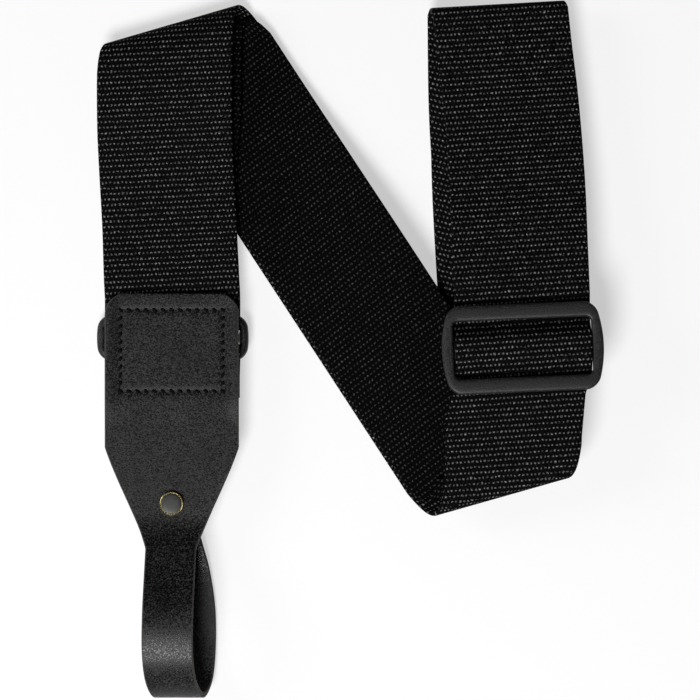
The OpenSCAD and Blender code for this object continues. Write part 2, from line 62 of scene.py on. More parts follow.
# %% Camera
PICTURE_W = 263.55
PICTURE_MID_Y = -0.38
CAMERA_H = 1050.0
FOCUS_Z = 9.0
SENSOR = 36.0
camera_data = bpy.data.cameras.new("camera")
camera_data.sensor_width = SENSOR
camera_data.lens = SENSOR * (CAMERA_H - FOCUS_Z) / PICTURE_W
camera = bpy.data.objects.new("camera", camera_data)
camera.location = (0.0, PICTURE_MID_Y * MM, CAMERA_H * MM)
bpy.context.scene.collection.objects.link(camera)
bpy.context.scene.camera = camera
bpy.context.scene.view_settings.view_transform = "Standard"
print("lens", round(camera_data.lens, 1), "mm")

# %% [markdown]
# ## Light and floor
# A large soft lamp stands at the near side, a little to the left, and a small dim one at the far left. A bright
# dome would light the strap too, but it washes black things out. So the studio is dark all round, and only a
# little less so near the floor: black surfaces that face up stay black, and the bends of the leather loop catch
# a bright band. The floor is plain and nearly white. What the camera sees of it is partly white by itself, and
# the rest is lit, so it keeps the shadow.


# %% Colours, nodes and materials
def linear(code):
    """An sRGB hex colour as the linear values that the shaders use."""
    parts = [int(code[i:i + 2], 16) / 255 for i in (1, 3, 5)]
    return tuple(p / 12.92 if p <= 0.04045 else ((p + 0.055) / 1.055) ** 2.4 for p in parts) + (1.0,)


def add_node(tree, kind, inputs=(), **settings):
    """Adds a node with its settings. Each input takes a value, or a link from another node's output."""
    node = tree.nodes.new(kind)
    for key, value in settings.items():
        setattr(node, key, value)
    for key, value in dict(inputs).items():
        if isinstance(value, bpy.types.NodeSocket):
            tree.links.new(value, node.inputs[key])
        else:
            node.inputs[key].default_value = value
    return node


def new_material(name, **sockets):
    """A material whose shader has these values on its own sockets, and its node tree and shader."""
    material = bpy.data.materials.new(name)
    material.use_nodes = True
    shader = material.node_tree.nodes["Principled BSDF"]
    for key, value in sockets.items():
        shader.inputs[key.replace("_", " ")].default_value = value
    return material, material.node_tree, shader


MATHS, RANGE, NOISE, MIX = "ShaderNodeMath", "ShaderNodeMapRange", "ShaderNodeTexNoise", "ShaderNodeMix"
COLOUR_A, COLOUR_B, COLOUR_OUT = 6, 7, 2
print("middle grey is", round(linear("#808080")[0], 3), "in linear light")


# %% Lamps
def soft_lamp(name, place, size, power):
    """A round lamp that faces the middle of the table, in metres and watts."""
    data = bpy.data.lights.new(name, "AREA")
    data.shape = "DISK"
    data.size = size
    data.energy = power
    lamp = bpy.data.objects.new(name, data)
    lamp.location = place
    lamp.rotation_euler = (-Vector(place)).to_track_quat("-Z", "Y").to_euler()
    bpy.context.scene.collection.objects.link(lamp)
    print(name, "gives", power, "watts")


soft_lamp("near_lamp", place=(-0.5, -1.1, 1.7), size=0.9, power=46.0)
soft_lamp("side_lamp", place=(-1.6, 0.4, 0.8), size=0.8, power=8.0)

# %% World
ZENITH, HORIZON = 0.05, 0.08
HORIZON_TO, ZENITH_FROM = 0.15, 0.75
world = bpy.data.worlds.new("studio")
bpy.context.scene.world = world
world.use_nodes = True
sky = world.node_tree
way = add_node(sky, "ShaderNodeTexCoord").outputs["Generated"]
way_up = add_node(sky, "ShaderNodeSeparateXYZ", {0: way}).outputs["Z"]
glow = add_node(sky, RANGE, {"Value": way_up, "From Min": HORIZON_TO, "From Max": ZENITH_FROM,
                             "To Min": HORIZON, "To Max": ZENITH}, interpolation_type="SMOOTHSTEP").outputs[0]
sky.links.new(glow, sky.nodes["Background"].inputs["Strength"])
sky.nodes["Background"].inputs["Color"].default_value = linear("#ffffff")
print("studio glows from", HORIZON, "at the floor to", ZENITH, "overhead")

# %% Floor
FLOOR_HALF, FLOOR_Z = 3.0, -0.0002
BACKDROP_SHARE = 0.55
floor_mesh = bpy.data.meshes.new("floor")
corners = [(x * FLOOR_HALF, y * FLOOR_HALF, FLOOR_Z) for x, y in ((-1, -1), (1, -1), (1, 1), (-1, 1))]
floor_mesh.from_pydata(corners, [], [(0, 1, 2, 3)])
floor = bpy.data.objects.new("floor", floor_mesh)
bpy.context.scene.collection.objects.link(floor)
white_paint, tree, shader = new_material("matt_white_paint", Base_Color=linear("#fbfbfb"), Roughness=0.9)
rays = add_node(tree, "ShaderNodeLightPath").outputs
seen = rays["Is Camera Ray"]
for kind in ("Is Glossy Ray", "Is Transmission Ray"):
    seen = add_node(tree, MATHS, {0: seen, 1: rays[kind]}, operation="MAXIMUM").outputs[0]
share = add_node(tree, MATHS, {0: seen, 1: BACKDROP_SHARE}, operation="MULTIPLY").outputs[0]
white = add_node(tree, "ShaderNodeEmission", {"Color": linear("#ffffff"), "Strength": 1.0}).outputs[0]
mixed = add_node(tree, "ShaderNodeMixShader", {0: share, 1: shader.outputs[0], 2: white}).outputs[0]
tree.links.new(mixed, tree.nodes["Material Output"].inputs["Surface"])
floor_mesh.materials.append(white_paint)
print("floor", 2 * FLOOR_HALF, "m wide")

# %% [markdown]
# ## The webbing's plan
# The webbing is one strip, 50.8 mm wide and 1.6 mm thick. A cloth simulation could fold it, but it wouldn't
# land on the folds that the photograph shows. So its route is a given list of places, the same list as in the
# solids: flat runs through stations, and folds, each with the point where the middle of the strip rolls in and
# the point where it rolls out. A rung crosses the strip from its east edge to its west edge, and the strip is
# the row of its rungs. Here the runs are drawn smooth and the folds round, with many more rungs than the solids
# have.

# %% Sizes of the webbing
WEB_W, WEB_T, LAYER_GAP, END_T = 50.8, 1.6, 0.4, 2.4
HALF_W, HALF_T = WEB_W / 2, WEB_T / 2
PITCH = WEB_T + LAYER_GAP
RING_X, RING_Z, RING_BAR_D, WEB_BAR_Y, RING_BAR_GAP = -67.0, 4.5, 4.4, 11.0, 13.5
CHAPE_BAR_Y = WEB_BAR_Y - RING_BAR_GAP
TURN_R = RING_BAR_D / 2 + LAYER_GAP + HALF_T
CHAPE_R = TURN_R + 0.3
TAIL_Z = END_T + HALF_T
FIFTH_Z = TAIL_Z + PITCH + LAYER_GAP / 2
FOURTH_Z = FIFTH_Z + PITCH + LAYER_GAP / 2
CROSS_Z = FOURTH_Z + PITCH + LAYER_GAP
PAIR_PITCH = PITCH + 0.2
CROSS_IN_Z = CROSS_Z + PAIR_PITCH
IN_FOLD_H = 1.9 * PITCH
TOP_FOLD_H = IN_FOLD_H + 3.6 * PITCH
print("pitch of the layers", PITCH, "mm")

# %% Sizes at the slider
SLIDER_X, SLIDER_Y, SLIDER_TURN = 64.3, 0.4, 2.5
SLIDER_BAR_W, SLIDER_BAR_T, WINDOW_LEN = 5.8, 3.4, 21.4
CENTRE_BAR_W, CENTRE_BAR_T, CENTRE_DROP = 7.0, 3.0, 2.6
RUN_LOW = -(SLIDER_BAR_T / 2 + LAYER_GAP + HALF_T)
RUN_2_LOW = RUN_LOW - PITCH
RUN_3_LOW = RUN_2_LOW - PITCH
SLIDER_Z = CROSS_IN_Z + PITCH - RUN_3_LOW
BAR_FLAT = (CENTRE_BAR_W - CENTRE_BAR_T) / 2
WRAP_R = CENTRE_BAR_T / 2 + LAYER_GAP + HALF_T
RUN_HIGH = -CENTRE_DROP + WRAP_R + PITCH
BAR_MID = WINDOW_LEN / 2 + SLIDER_BAR_W / 2
SLIDER_END = BAR_MID + SLIDER_BAR_W / 2
print("slider centre height", round(SLIDER_Z, 2), "mm")


# %% Across a strip
def unit(v):
    return np.asarray(v, float) / np.linalg.norm(v)


def mix(a, b, f):
    return a + (b - a) * f


def smooth(f):
    f = np.clip(f, 0.0, 1.0)
    return f * f * (3 - 2 * f)


def left_of(way):
    return np.array([-way[1], way[0]])


def side_profile(half, thick, edge_r, cells, edge_steps):
    """Places across a strip from one edge to the other, and half its thickness there, with rounded edges."""
    turn = np.linspace(0, np.pi / 2, edge_steps + 1)[1:]
    flat = (half - edge_r) * np.sin(np.linspace(np.pi / 2, -np.pi / 2, cells + 1))
    out = half - edge_r + edge_r * np.sin(turn)
    height = thick / 2 - edge_r + edge_r * np.cos(turn)
    places = np.concatenate([out[::-1], flat, -out])
    heights = np.concatenate([height[::-1], np.full(cells + 1, thick / 2), height])
    return places, heights


EDGE_STEPS = 3
WEB_PLACES, WEB_HEIGHTS = side_profile(HALF_W, WEB_T, HALF_T, cells=16, edge_steps=EDGE_STEPS)


def across(east, west):
    """Points across the strip, from its east edge to its west edge."""
    share = (1 - WEB_PLACES / HALF_W) / 2
    return mix(np.asarray(east, float), np.asarray(west, float), share[:, None])


def rung(p, way, s):
    """A rung at a station. The side s says which hand of the way the east edge is on."""
    reach = left_of(way) * s * HALF_W
    return across((p[0] + reach[0], p[1] + reach[1], p[2]), (p[0] - reach[0], p[1] - reach[1], p[3]))


print("points across the webbing:", len(WEB_PLACES))

# %% Along a run
STEEPEST = 2.5
RUNG_STEP = 2.4
NEARBY = 0.5


def through(knots, values, at):
    """A smooth curve through the values that never swings past them."""
    step = np.diff(knots)[:, None]
    slope = np.diff(values, axis=0) / step
    tangent = np.concatenate([slope[:1], (slope[1:] + slope[:-1]) / 2, slope[-1:]])
    bend = slope[1:] * slope[:-1] <= 0
    tangent[1:-1][bend] = 0
    limit = STEEPEST * np.minimum(np.abs(slope[1:]), np.abs(slope[:-1]))
    tangent[1:-1] = np.clip(tangent[1:-1], -limit, limit)
    i = np.clip(np.searchsorted(knots, at, side="right") - 1, 0, len(knots) - 2)
    h = step[i]
    f = ((at - knots[i])[:, None]) / h
    return ((2 * f**3 - 3 * f**2 + 1) * values[i] + (f**3 - 2 * f**2 + f) * h * tangent[i]
            + (-2 * f**3 + 3 * f**2) * values[i + 1] + (f**3 - f**2) * h * tangent[i + 1])


def leg(stations, before, after, s):
    """Rungs along a flat run through its stations [x, y, z of the east edge, z of the west edge]."""
    first, last = stations[0], stations[-1]
    line = np.array([[*before[:2], *first[2:]], *stations, [*after[:2], *last[2:]]], float)
    knots = np.concatenate([[0], np.cumsum(np.linalg.norm(np.diff(line[:, :2], axis=0), axis=1))])
    count = max(2, int((knots[-2] - knots[1]) / RUNG_STEP) + 1)
    at = np.linspace(knots[1], knots[-2], count) if len(stations) > 1 else knots[1:2]
    points = through(knots, line, at)
    ways = through(knots, line, at + NEARBY)[:, :2] - through(knots, line, at - NEARBY)[:, :2]
    return [rung(p, unit(w), s) for p, w in zip(points, ways)]


def refine(rungs):
    """Adds even rungs wherever two neighbours lie far apart."""
    out = [rungs[0]]
    for a, b in zip(rungs[:-1], rungs[1:]):
        count = max(1, math.ceil(np.linalg.norm(b - a, axis=1).max() / RUNG_STEP))
        out += [mix(a, b, k / count) for k in range(1, count + 1)]
    return out


print("a rung at least every", RUNG_STEP, "mm")

# %% Round a fold
FOLD_STEPS = 24


def fold_edge(roll, way_in, way_out, s, z_in, z_out, deep):
    """One edge of the strip round a fold, which is this deep in plan."""
    out = unit(way_in - way_out)

    def base(point, way, offset):
        start = left_of(way) * offset
        return point + start + way * ((-deep - start @ out) / (way @ out))

    a, b = base(roll[0], way_in, s * HALF_W), base(roll[1], way_out, -s * HALF_W)
    f = np.linspace(0, 1, FOLD_STEPS + 1)[:, None]
    plan = mix(a, b, f) + out * deep * np.sin(np.pi * f)
    return np.hstack([plan, mix(z_in, z_out, (1 - np.cos(np.pi * f)) / 2)])


def fold(roll, before, after, s, z_in, z_out, deep):
    """Rungs round a fold, from the point where the strip rolls in to the point where it rolls out."""
    roll = np.array(roll, float)
    way_in, way_out = unit(roll[0] - np.array(before[:2])), unit(np.array(after[:2]) - roll[1])
    east = fold_edge(roll, way_in, way_out, s, z_in[0], z_out[0], deep)
    west = fold_edge(roll, way_in, way_out, -s, z_in[1], z_out[1], deep)
    return [across(e, w) for e, w in zip(east, west)]


print("steps round a fold:", FOLD_STEPS)

# %% [markdown]
# ## Runs and folds
# The diagonal strands lie on the table on the left and climb onto the folded tail on the right. Through the
# slider the strap makes a wave, under both outer bars and over the centre bar. Its sewn end goes round the
# centre bar. Round the ring it makes half a turn. Each length is a chain of runs and folds, and it ends where
# the next one starts, on the same rung.

# %% Rolls of the folds
RETURN_LOW, RETURN_TOP = ((57.5, -49.6), (51.5, -51.7)), ((-59.2, 117.8), (-66.4, 115.8))
FRONT_TOP, FRONT_LOW = ((-69.4, 121.1), (-64.3, 122.8)), ((52.9, -56.0), (60.6, -53.4))
TAIL_TOP = ((56.3, 129.0), (54.6, 128.9))
TAIL_LOW, TAIL_INNER = ((59.5, -40.0), (59.5, -40.0)), ((55.6, 111.0), (55.6, 111.0))
DEEP_IN, DEEP_OUT, DEEP_TAIL, DEEP_TAIL_LOW = 6.5, 10.0, IN_FOLD_H / 2, PITCH / 2 + 0.2
RAMP_FROM, RAMP_TO = -25.0, 27.0


def diagonal(start, end, span, low, s):
    """Rungs along a diagonal strand between two distances from its start, up the ramp onto the tail."""
    way = unit(np.subtract(end, start))
    first, last = span
    rungs = []
    for far in np.linspace(first, last, int((last - first) / RUNG_STEP) + 1):
        p = np.add(start, way * far)
        points = rung((p[0], p[1], low, low), way, s)
        points[:, 2] += (CROSS_Z - HALF_T) * smooth((points[:, 0] - RAMP_FROM) / (RAMP_TO - RAMP_FROM))
        rungs.append(points)
    return rungs


print("folds are", DEEP_IN, "and", DEEP_OUT, "mm deep in plan")

# %% Strap in the slider
WAVE_HALF = WINDOW_LEN / 2 - LAYER_GAP
RUN_BEND, RUN_DRIFT, RUN_LEAN, RUN_SIDE = 9.2, 2.6, 0.1, 0.32
SLIDER_ANGLE = math.radians(SLIDER_TURN)
SLIDER_WAY = np.array([-math.sin(SLIDER_ANGLE), math.cos(SLIDER_ANGLE)])


def on_slider(v):
    """The middle of the strap at a place along the slider. Below the window the strap bears to the left."""
    in_window = min(WAVE_HALF, max(-WAVE_HALF, v))
    bent = RUN_DRIFT * smooth((-WAVE_HALF - v) / RUN_BEND)
    leant = RUN_LEAN * min(0.0, v + WAVE_HALF + RUN_BEND)
    return SLIDER_X + RUN_SIDE + SLIDER_WAY[0] * in_window - bent + leant, SLIDER_Y + v


def held(v, z):
    """A rung at a place along the slider, at a height above the slider's middle."""
    x, y = on_slider(v)
    return rung((x, y, SLIDER_Z + z, SLIDER_Z + z), SLIDER_WAY, -1)


WAVE_FLAT = BAR_FLAT + 1


def wave(v):
    """The height of the strap over the centre bar and under the outer bars."""
    return mix(RUN_HIGH, RUN_LOW, smooth((abs(v) - WAVE_FLAT) / (WAVE_HALF - WAVE_FLAT)))


print("the wave is", round(RUN_HIGH - RUN_LOW, 2), "mm high")

# %% Sewn end and its run
SEWN_LEN = 13.0
CLEAR_V = WAVE_HALF - 1.6
RETURN_V = -SLIDER_END - 8


def bar_turn(first, last, centre, steps):
    """Places round one side of the centre bar, from one angle to another in degrees."""
    return [(centre + WRAP_R * math.cos(a), -CENTRE_DROP + WRAP_R * math.sin(a))
            for a in np.radians(np.linspace(first, last, steps))]


below_window = np.linspace(SLIDER_END + SEWN_LEN, WAVE_HALF, 15)
sewn_line = [*[(-v, RUN_2_LOW) for v in below_window], (-CLEAR_V, RUN_2_LOW),
             *bar_turn(150, 90, -BAR_FLAT, 5), *bar_turn(90, -90, BAR_FLAT, 17),
             (-BAR_FLAT, -CENTRE_DROP - WRAP_R), (-CLEAR_V, RUN_3_LOW), (-WAVE_HALF, RUN_3_LOW)]
sewn_rungs = refine([held(v, z) for v, z in sewn_line])
leg_0_end = (59.4, -33.0, SLIDER_Z + RUN_3_LOW, SLIDER_Z + RUN_3_LOW)
return_run = refine([held(v, RUN_3_LOW) for v in np.linspace(-WAVE_HALF, RETURN_V, 12)]
                    + leg([leg_0_end], on_slider(RETURN_V), RETURN_LOW[0], 1))
print("rungs of the sewn end and its run:", len(sewn_rungs), len(return_run))

# %% Return strand and ring turn
first_top = IN_FOLD_H + PAIR_PITCH + HALF_T
low_in = HALF_T + PAIR_PITCH
under_front = HALF_T + 2.2 * PITCH
under_bar, over_bar = RING_Z - TURN_R, RING_Z + TURN_R
RETURN_SPAN = (16, 182)
leg_2 = [(-66.4, 94, first_top - 0.6, first_top - 0.8), (-67.8, 71, under_front, under_front),
         (-68, 46, under_front, under_front), (-67.4, 27, under_bar + 0.2, under_bar + 0.2),
         (RING_X, 18, under_bar, under_bar)]
ring_turn = []
for a in np.radians(np.linspace(-90, -270, FOLD_STEPS + 1)):
    y, z = WEB_BAR_Y + TURN_R * math.cos(a), RING_Z + TURN_R * math.sin(a)
    ring_turn.append(rung((RING_X, y, z, z), (0.0, 1.0), -1))
return_rungs = refine(
    fold(RETURN_LOW, leg_0_end, RETURN_TOP[0], 1, leg_0_end[2:], (CROSS_IN_Z, CROSS_IN_Z), DEEP_IN)
    + diagonal(RETURN_LOW[1], RETURN_TOP[0], RETURN_SPAN, low_in, -1)
    + fold(RETURN_TOP, RETURN_LOW[1], leg_2[0], -1, (low_in, low_in), (first_top, first_top - 0.4), DEEP_IN)
    + leg(leg_2, RETURN_TOP[1], (RING_X, WEB_BAR_Y), 1) + ring_turn)
print("rungs of the return strand:", len(return_rungs))

# %% Front strand
front_top = HALF_T + TOP_FOLD_H
FRONT_SPAN = (24, 192)
FOLD_CUT = 2 * FOLD_STEPS // 3
leg_3 = [(x, y, z, z) for x, y, z in (
    (RING_X, 18, over_bar), (-67.4, 27, over_bar), (-68, 46, HALF_T + 3.5 * PITCH),
    (-69.2, 70, HALF_T + 4.1 * PITCH), (-69.7, 86, front_top - 1), (-69.7, 98, front_top))]
leg_5_start = (61.2, -31.0, SLIDER_Z + RUN_LOW, SLIDER_Z + RUN_LOW)
low_fold = fold(FRONT_LOW, FRONT_TOP[1], leg_5_start, 1, (CROSS_Z, CROSS_Z), leg_5_start[2:], DEEP_OUT)
front_rungs = refine(
    ring_turn[-1:] + leg(leg_3, (RING_X, WEB_BAR_Y), FRONT_TOP[0], -1)
    + fold(FRONT_TOP, leg_3[-1], FRONT_LOW[0], -1, leg_3[-1][2:], (HALF_T, HALF_T), DEEP_OUT)
    + diagonal(FRONT_TOP[1], FRONT_LOW[0], FRONT_SPAN, HALF_T, 1) + low_fold[:FOLD_CUT + 1])
print("rungs of the front strand:", len(front_rungs))

# %% Slider run
run_top = FOURTH_Z + IN_FOLD_H
leg_5_top = []
for x, y, f in ((63.4, 42, 0.25), (62.6, 64, 0.6), (60.3, 94, 0.95), (58, 113, 1.0)):
    z = mix(SLIDER_Z + RUN_LOW, run_top, f)
    leg_5_top.append((x, y, z, z))
leg_6 = [(x, y, FOURTH_Z, FOURTH_Z) for x, y in ((54.7, 112), (55.1, 90), (56.8, 60), (58.9, 24), (60, -20))]
top_fold = fold(TAIL_TOP, leg_5_top[-1], leg_6[0], -1, leg_5_top[-1][2:], leg_6[0][2:], DEEP_TAIL)
TOP_CUT = FOLD_STEPS // 3
WAVE_STEPS = 36
CLEAR_OF_BARS = SLIDER_END + 3
wave_line = [(v, wave(v)) for v in np.linspace(0, WAVE_HALF, WAVE_STEPS // 2 + 1)]
low_run = refine(low_fold[FOLD_CUT:] + leg([leg_5_start], FRONT_LOW[1], on_slider(-CLEAR_OF_BARS), -1)
                 + [held(v, RUN_LOW) for v in np.linspace(-CLEAR_OF_BARS, -WAVE_HALF, 8)[:-1]]
                 + [held(-v, z) for v, z in wave_line[::-1]])
high_run = refine([held(v, z) for v, z in wave_line] + [held(v, RUN_LOW) for v in (BAR_MID, CLEAR_OF_BARS)]
                  + leg(leg_5_top, on_slider(CLEAR_OF_BARS), TAIL_TOP[0], -1) + top_fold[:TOP_CUT + 1])
print("rungs of the slider run:", len(low_run), len(high_run))

# %% Tail
END_TOP, END_LEN, END_OVERLAP = np.array([56.4, 58.0]), 100.0, 40.0
END_WAY = unit(np.array([58.7, 20.0]) - END_TOP)
end_stop = END_TOP + END_WAY * END_OVERLAP
leg_7 = [(x, y, FIFTH_Z, FIFTH_Z) for x, y in ((59.4, -20), (58.6, 37), (56.1, 94))]
leg_8 = [(x, y, z, z) for x, y, z in (
    (55.8, 98, HALF_T), (56, 82, HALF_T + 0.3), (END_TOP[0], END_TOP[1] + 4, TAIL_Z), (*end_stop, TAIL_Z))]
tail_rungs = refine(
    top_fold[TOP_CUT:] + leg(leg_6, TAIL_TOP[1], TAIL_LOW[0], 1)
    + fold(TAIL_LOW, leg_6[-1], leg_7[0], 1, leg_6[-1][2:], leg_7[0][2:], DEEP_TAIL_LOW)
    + leg(leg_7, TAIL_LOW[1], TAIL_INNER[0], -1)
    + fold(TAIL_INNER, leg_7[-1], leg_8[0], -1, leg_7[-1][2:], leg_8[0][2:], DEEP_TAIL)
    + leg(leg_8, TAIL_INNER[1], end_stop + END_WAY * 10, 1))
print("rungs of the tail:", len(tail_rungs))

# %% [markdown]
# ## Woven nylon
# The webbing is a tight weave of black nylon. Each warp yarn comes up as a small bead, the beads stand in rows
# across the strap, and every second row is shifted by half a bead. The eye sees a near-black ground and a grey
# glint on each bead, broken up by the fibres. The glint is a painted highlight in the colour of the beads.
# Modelled beads would be far too many faces, so nodes draw them from their size in millimetres, on coordinates
# that follow the strap: the UV map on the folded lengths, and the place itself on the length that the slider
# travels along, so that the weave stays still while the slider moves over it. The rows are slightly skewed and
# uneven, as on the real strap. The diagonal has a copy with a dimmer painted glint, painted shade because its
# beads lie at another angle to the light. The fibres are really far finer, and are drawn as coarse as they need
# to be to show.

# %% Weave cells
BEAD_W, ROW_LEN, SKEW = 1.5, 2.08, 0.05
FIBRE = 0.5
WOBBLE, WOBBLE_LEN = 0.7, 1.3


def weave_cells(tree, wide, long, skew):
    """The distance to the middle of the bead across and along the strap, from 0 to 0.5, and a chance value."""
    skewed = add_node(tree, MATHS, {0: wide, 1: skew, 2: long}, operation="MULTIPLY_ADD").outputs[0]
    row_at = add_node(tree, MATHS, {0: skewed, 1: ROW_LEN}, operation="DIVIDE").outputs[0]
    row = add_node(tree, MATHS, {0: row_at}, operation="FLOOR").outputs[0]
    odd = add_node(tree, MATHS, {0: row, 1: 1.0}, operation="PINGPONG").outputs[0]
    bead_at = add_node(tree, MATHS, {0: wide, 1: BEAD_W}, operation="DIVIDE").outputs[0]
    shifted = add_node(tree, MATHS, {0: odd, 1: 0.5, 2: bead_at}, operation="MULTIPLY_ADD").outputs[0]
    column = add_node(tree, MATHS, {0: shifted}, operation="FLOOR").outputs[0]
    cell = add_node(tree, "ShaderNodeCombineXYZ", {0: column, 1: row}).outputs[0]
    chance = add_node(tree, "ShaderNodeTexWhiteNoise", {"Vector": cell}, noise_dimensions="2D").outputs["Value"]
    in_bead = add_node(tree, MATHS, {0: shifted, 1: 0.5}, operation="PINGPONG").outputs[0]
    in_row = add_node(tree, MATHS, {0: row_at, 1: 0.5}, operation="PINGPONG").outputs[0]
    return in_bead, in_row, chance


print("bead", BEAD_W, "mm wide, row", ROW_LEN, "mm long")

# %% Webbing material
RISE_ACROSS, RISE_ALONG = (0.16, 0.44), (0.26, 0.48)
BEAD_H, FIBRE_SHARE = 0.3, 0.3
DIMMEST_BEAD = 0.45
STRAND_FROM, STRAND_TO, BETWEEN_STRANDS = 0.35, 0.65, 0.1
FUZZ_FROM, FUZZ_TO, FUZZ = 0.45, 0.75, 0.02


def webbing_material(name, follows_strap, glint, skew):
    """Near-black yarn with a painted glint in the colour of each bead. Every bead's glint has its own
    brightness.
    """
    material, tree, shader = new_material(name, Roughness=0.7, Specular_IOR_Level=0.02)
    if follows_strap:
        place = add_node(tree, "ShaderNodeUVMap", uv_map="strap_mm").outputs[0]
    else:
        inputs = {"Vector": add_node(tree, "ShaderNodeTexCoord").outputs["Object"], "Scale": (MM, MM, MM),
                  "Rotation": (0.0, 0.0, SLIDER_ANGLE)}
        place = add_node(tree, "ShaderNodeMapping", inputs, vector_type="TEXTURE").outputs[0]
    uneven = add_node(tree, NOISE, {"Vector": place, "Scale": 1 / WOBBLE_LEN, "Detail": 0.0}).outputs["Color"]
    pushed = add_node(tree, "ShaderNodeVectorMath", {0: uneven, 1: (WOBBLE, WOBBLE, 0.0), 2: place},
                      operation="MULTIPLY_ADD").outputs[0]
    parts = add_node(tree, "ShaderNodeSeparateXYZ", {0: pushed}).outputs
    in_bead, in_row, chance = weave_cells(tree, parts[0], parts[1], skew)
    rises = [add_node(tree, RANGE, {"Value": inside, "From Min": low, "From Max": high},
                      interpolation_type="SMOOTHSTEP").outputs[0]
             for inside, (low, high) in ((in_bead, RISE_ACROSS), (in_row, RISE_ALONG))]
    bead = add_node(tree, MATHS, {0: rises[0], 1: rises[1]}, operation="MULTIPLY").outputs[0]
    fibre = add_node(tree, NOISE, {"Vector": place, "Scale": 1 / FIBRE, "Detail": 1.0}).outputs[0]
    height = add_node(tree, MATHS, {0: fibre, 1: FIBRE_SHARE, 2: bead}, operation="MULTIPLY_ADD").outputs[0]
    bump = add_node(tree, "ShaderNodeBump", {"Height": height, "Strength": 0.6, "Distance": BEAD_H * MM})
    shine = add_node(tree, RANGE, {"Value": chance, "To Min": DIMMEST_BEAD}).outputs[0]
    strands = add_node(tree, RANGE, {"Value": fibre, "From Min": STRAND_FROM, "From Max": STRAND_TO,
                                     "To Min": BETWEEN_STRANDS}).outputs[0]
    painted_glint_share = bead
    for part in (strands, shine):
        painted_glint_share = add_node(tree, MATHS, {0: painted_glint_share, 1: part}, operation="MULTIPLY").outputs[0]
    fuzz = add_node(tree, RANGE, {"Value": fibre, "From Min": FUZZ_FROM, "From Max": FUZZ_TO,
                                  "To Max": FUZZ}).outputs[0]
    glint_or_fuzz = add_node(tree, MATHS, {0: painted_glint_share, 1: fuzz}, operation="MAXIMUM").outputs[0]
    # The base colour mixes a painted highlight, the glint, onto each bead.
    colours = {0: glint_or_fuzz, COLOUR_A: linear("#030303"), COLOUR_B: linear(glint)}
    colour = add_node(tree, MIX, colours, data_type="RGBA")
    tree.links.new(colour.outputs[COLOUR_OUT], shader.inputs["Base Color"])
    tree.links.new(bump.outputs[0], shader.inputs["Normal"])
    print(name, "has", len(tree.nodes), "nodes")
    return material


# The colours given here are the painted glints on the beads.
woven_nylon = webbing_material("woven_nylon", True, "#9c9c9c", -SKEW)
woven_nylon_run = webbing_material("woven_nylon_slider_run", False, "#9c9c9c", -SKEW / 2)
# A copy with a dimmer painted glint: painted shade for the diagonal, whose beads lie at another angle to the
# light.
woven_nylon_dim_glint = webbing_material("woven_nylon_diagonal_dim_glint", True, "#545454", SKEW)

# %% [markdown]
# ## Skinning a strip
# A strip becomes a closed skin. A Solidify modifier would leave square edges, so the rungs are moved up and
# down by half the thickness along the surface normal, and the two skins meet at the rounded edges. The UV map
# holds millimetres across and along the strip. Along it, each line of points is measured by itself, so that the
# weave runs truly round the oblique folds.


# %% Meshes
SOFT, CRISP = 55.0, 40.0


def surface_normals(points):
    """The direction that the upper side of the strip faces, at each of its points."""
    along = np.gradient(points, axis=0)
    over = -np.gradient(points, axis=1)
    normals = np.cross(along, over)
    return normals / np.linalg.norm(normals, axis=2, keepdims=True)


def finish_mesh(name, vertices, faces, material, sharp=SOFT):
    """A mesh object at the origin from points in mm, with outward faces and smooth shading."""
    mesh = bpy.data.meshes.new(name)
    mesh.from_pydata((np.asarray(vertices) * MM).tolist(), [], faces)
    work = bmesh.new()
    work.from_mesh(mesh)
    bmesh.ops.recalc_face_normals(work, faces=work.faces)
    work.to_mesh(mesh)
    work.free()
    mesh.shade_smooth()
    mesh.set_sharp_from_angle(angle=math.radians(sharp))
    mesh.materials.append(material)
    piece = bpy.data.objects.new(name, mesh)
    bpy.context.scene.collection.objects.link(piece)
    print(name, "has", len(mesh.polygons), "faces")
    return piece


print("edges are sharp from", SOFT, "degrees, or from", CRISP)

# %% Skin
MERGE = 1e-3


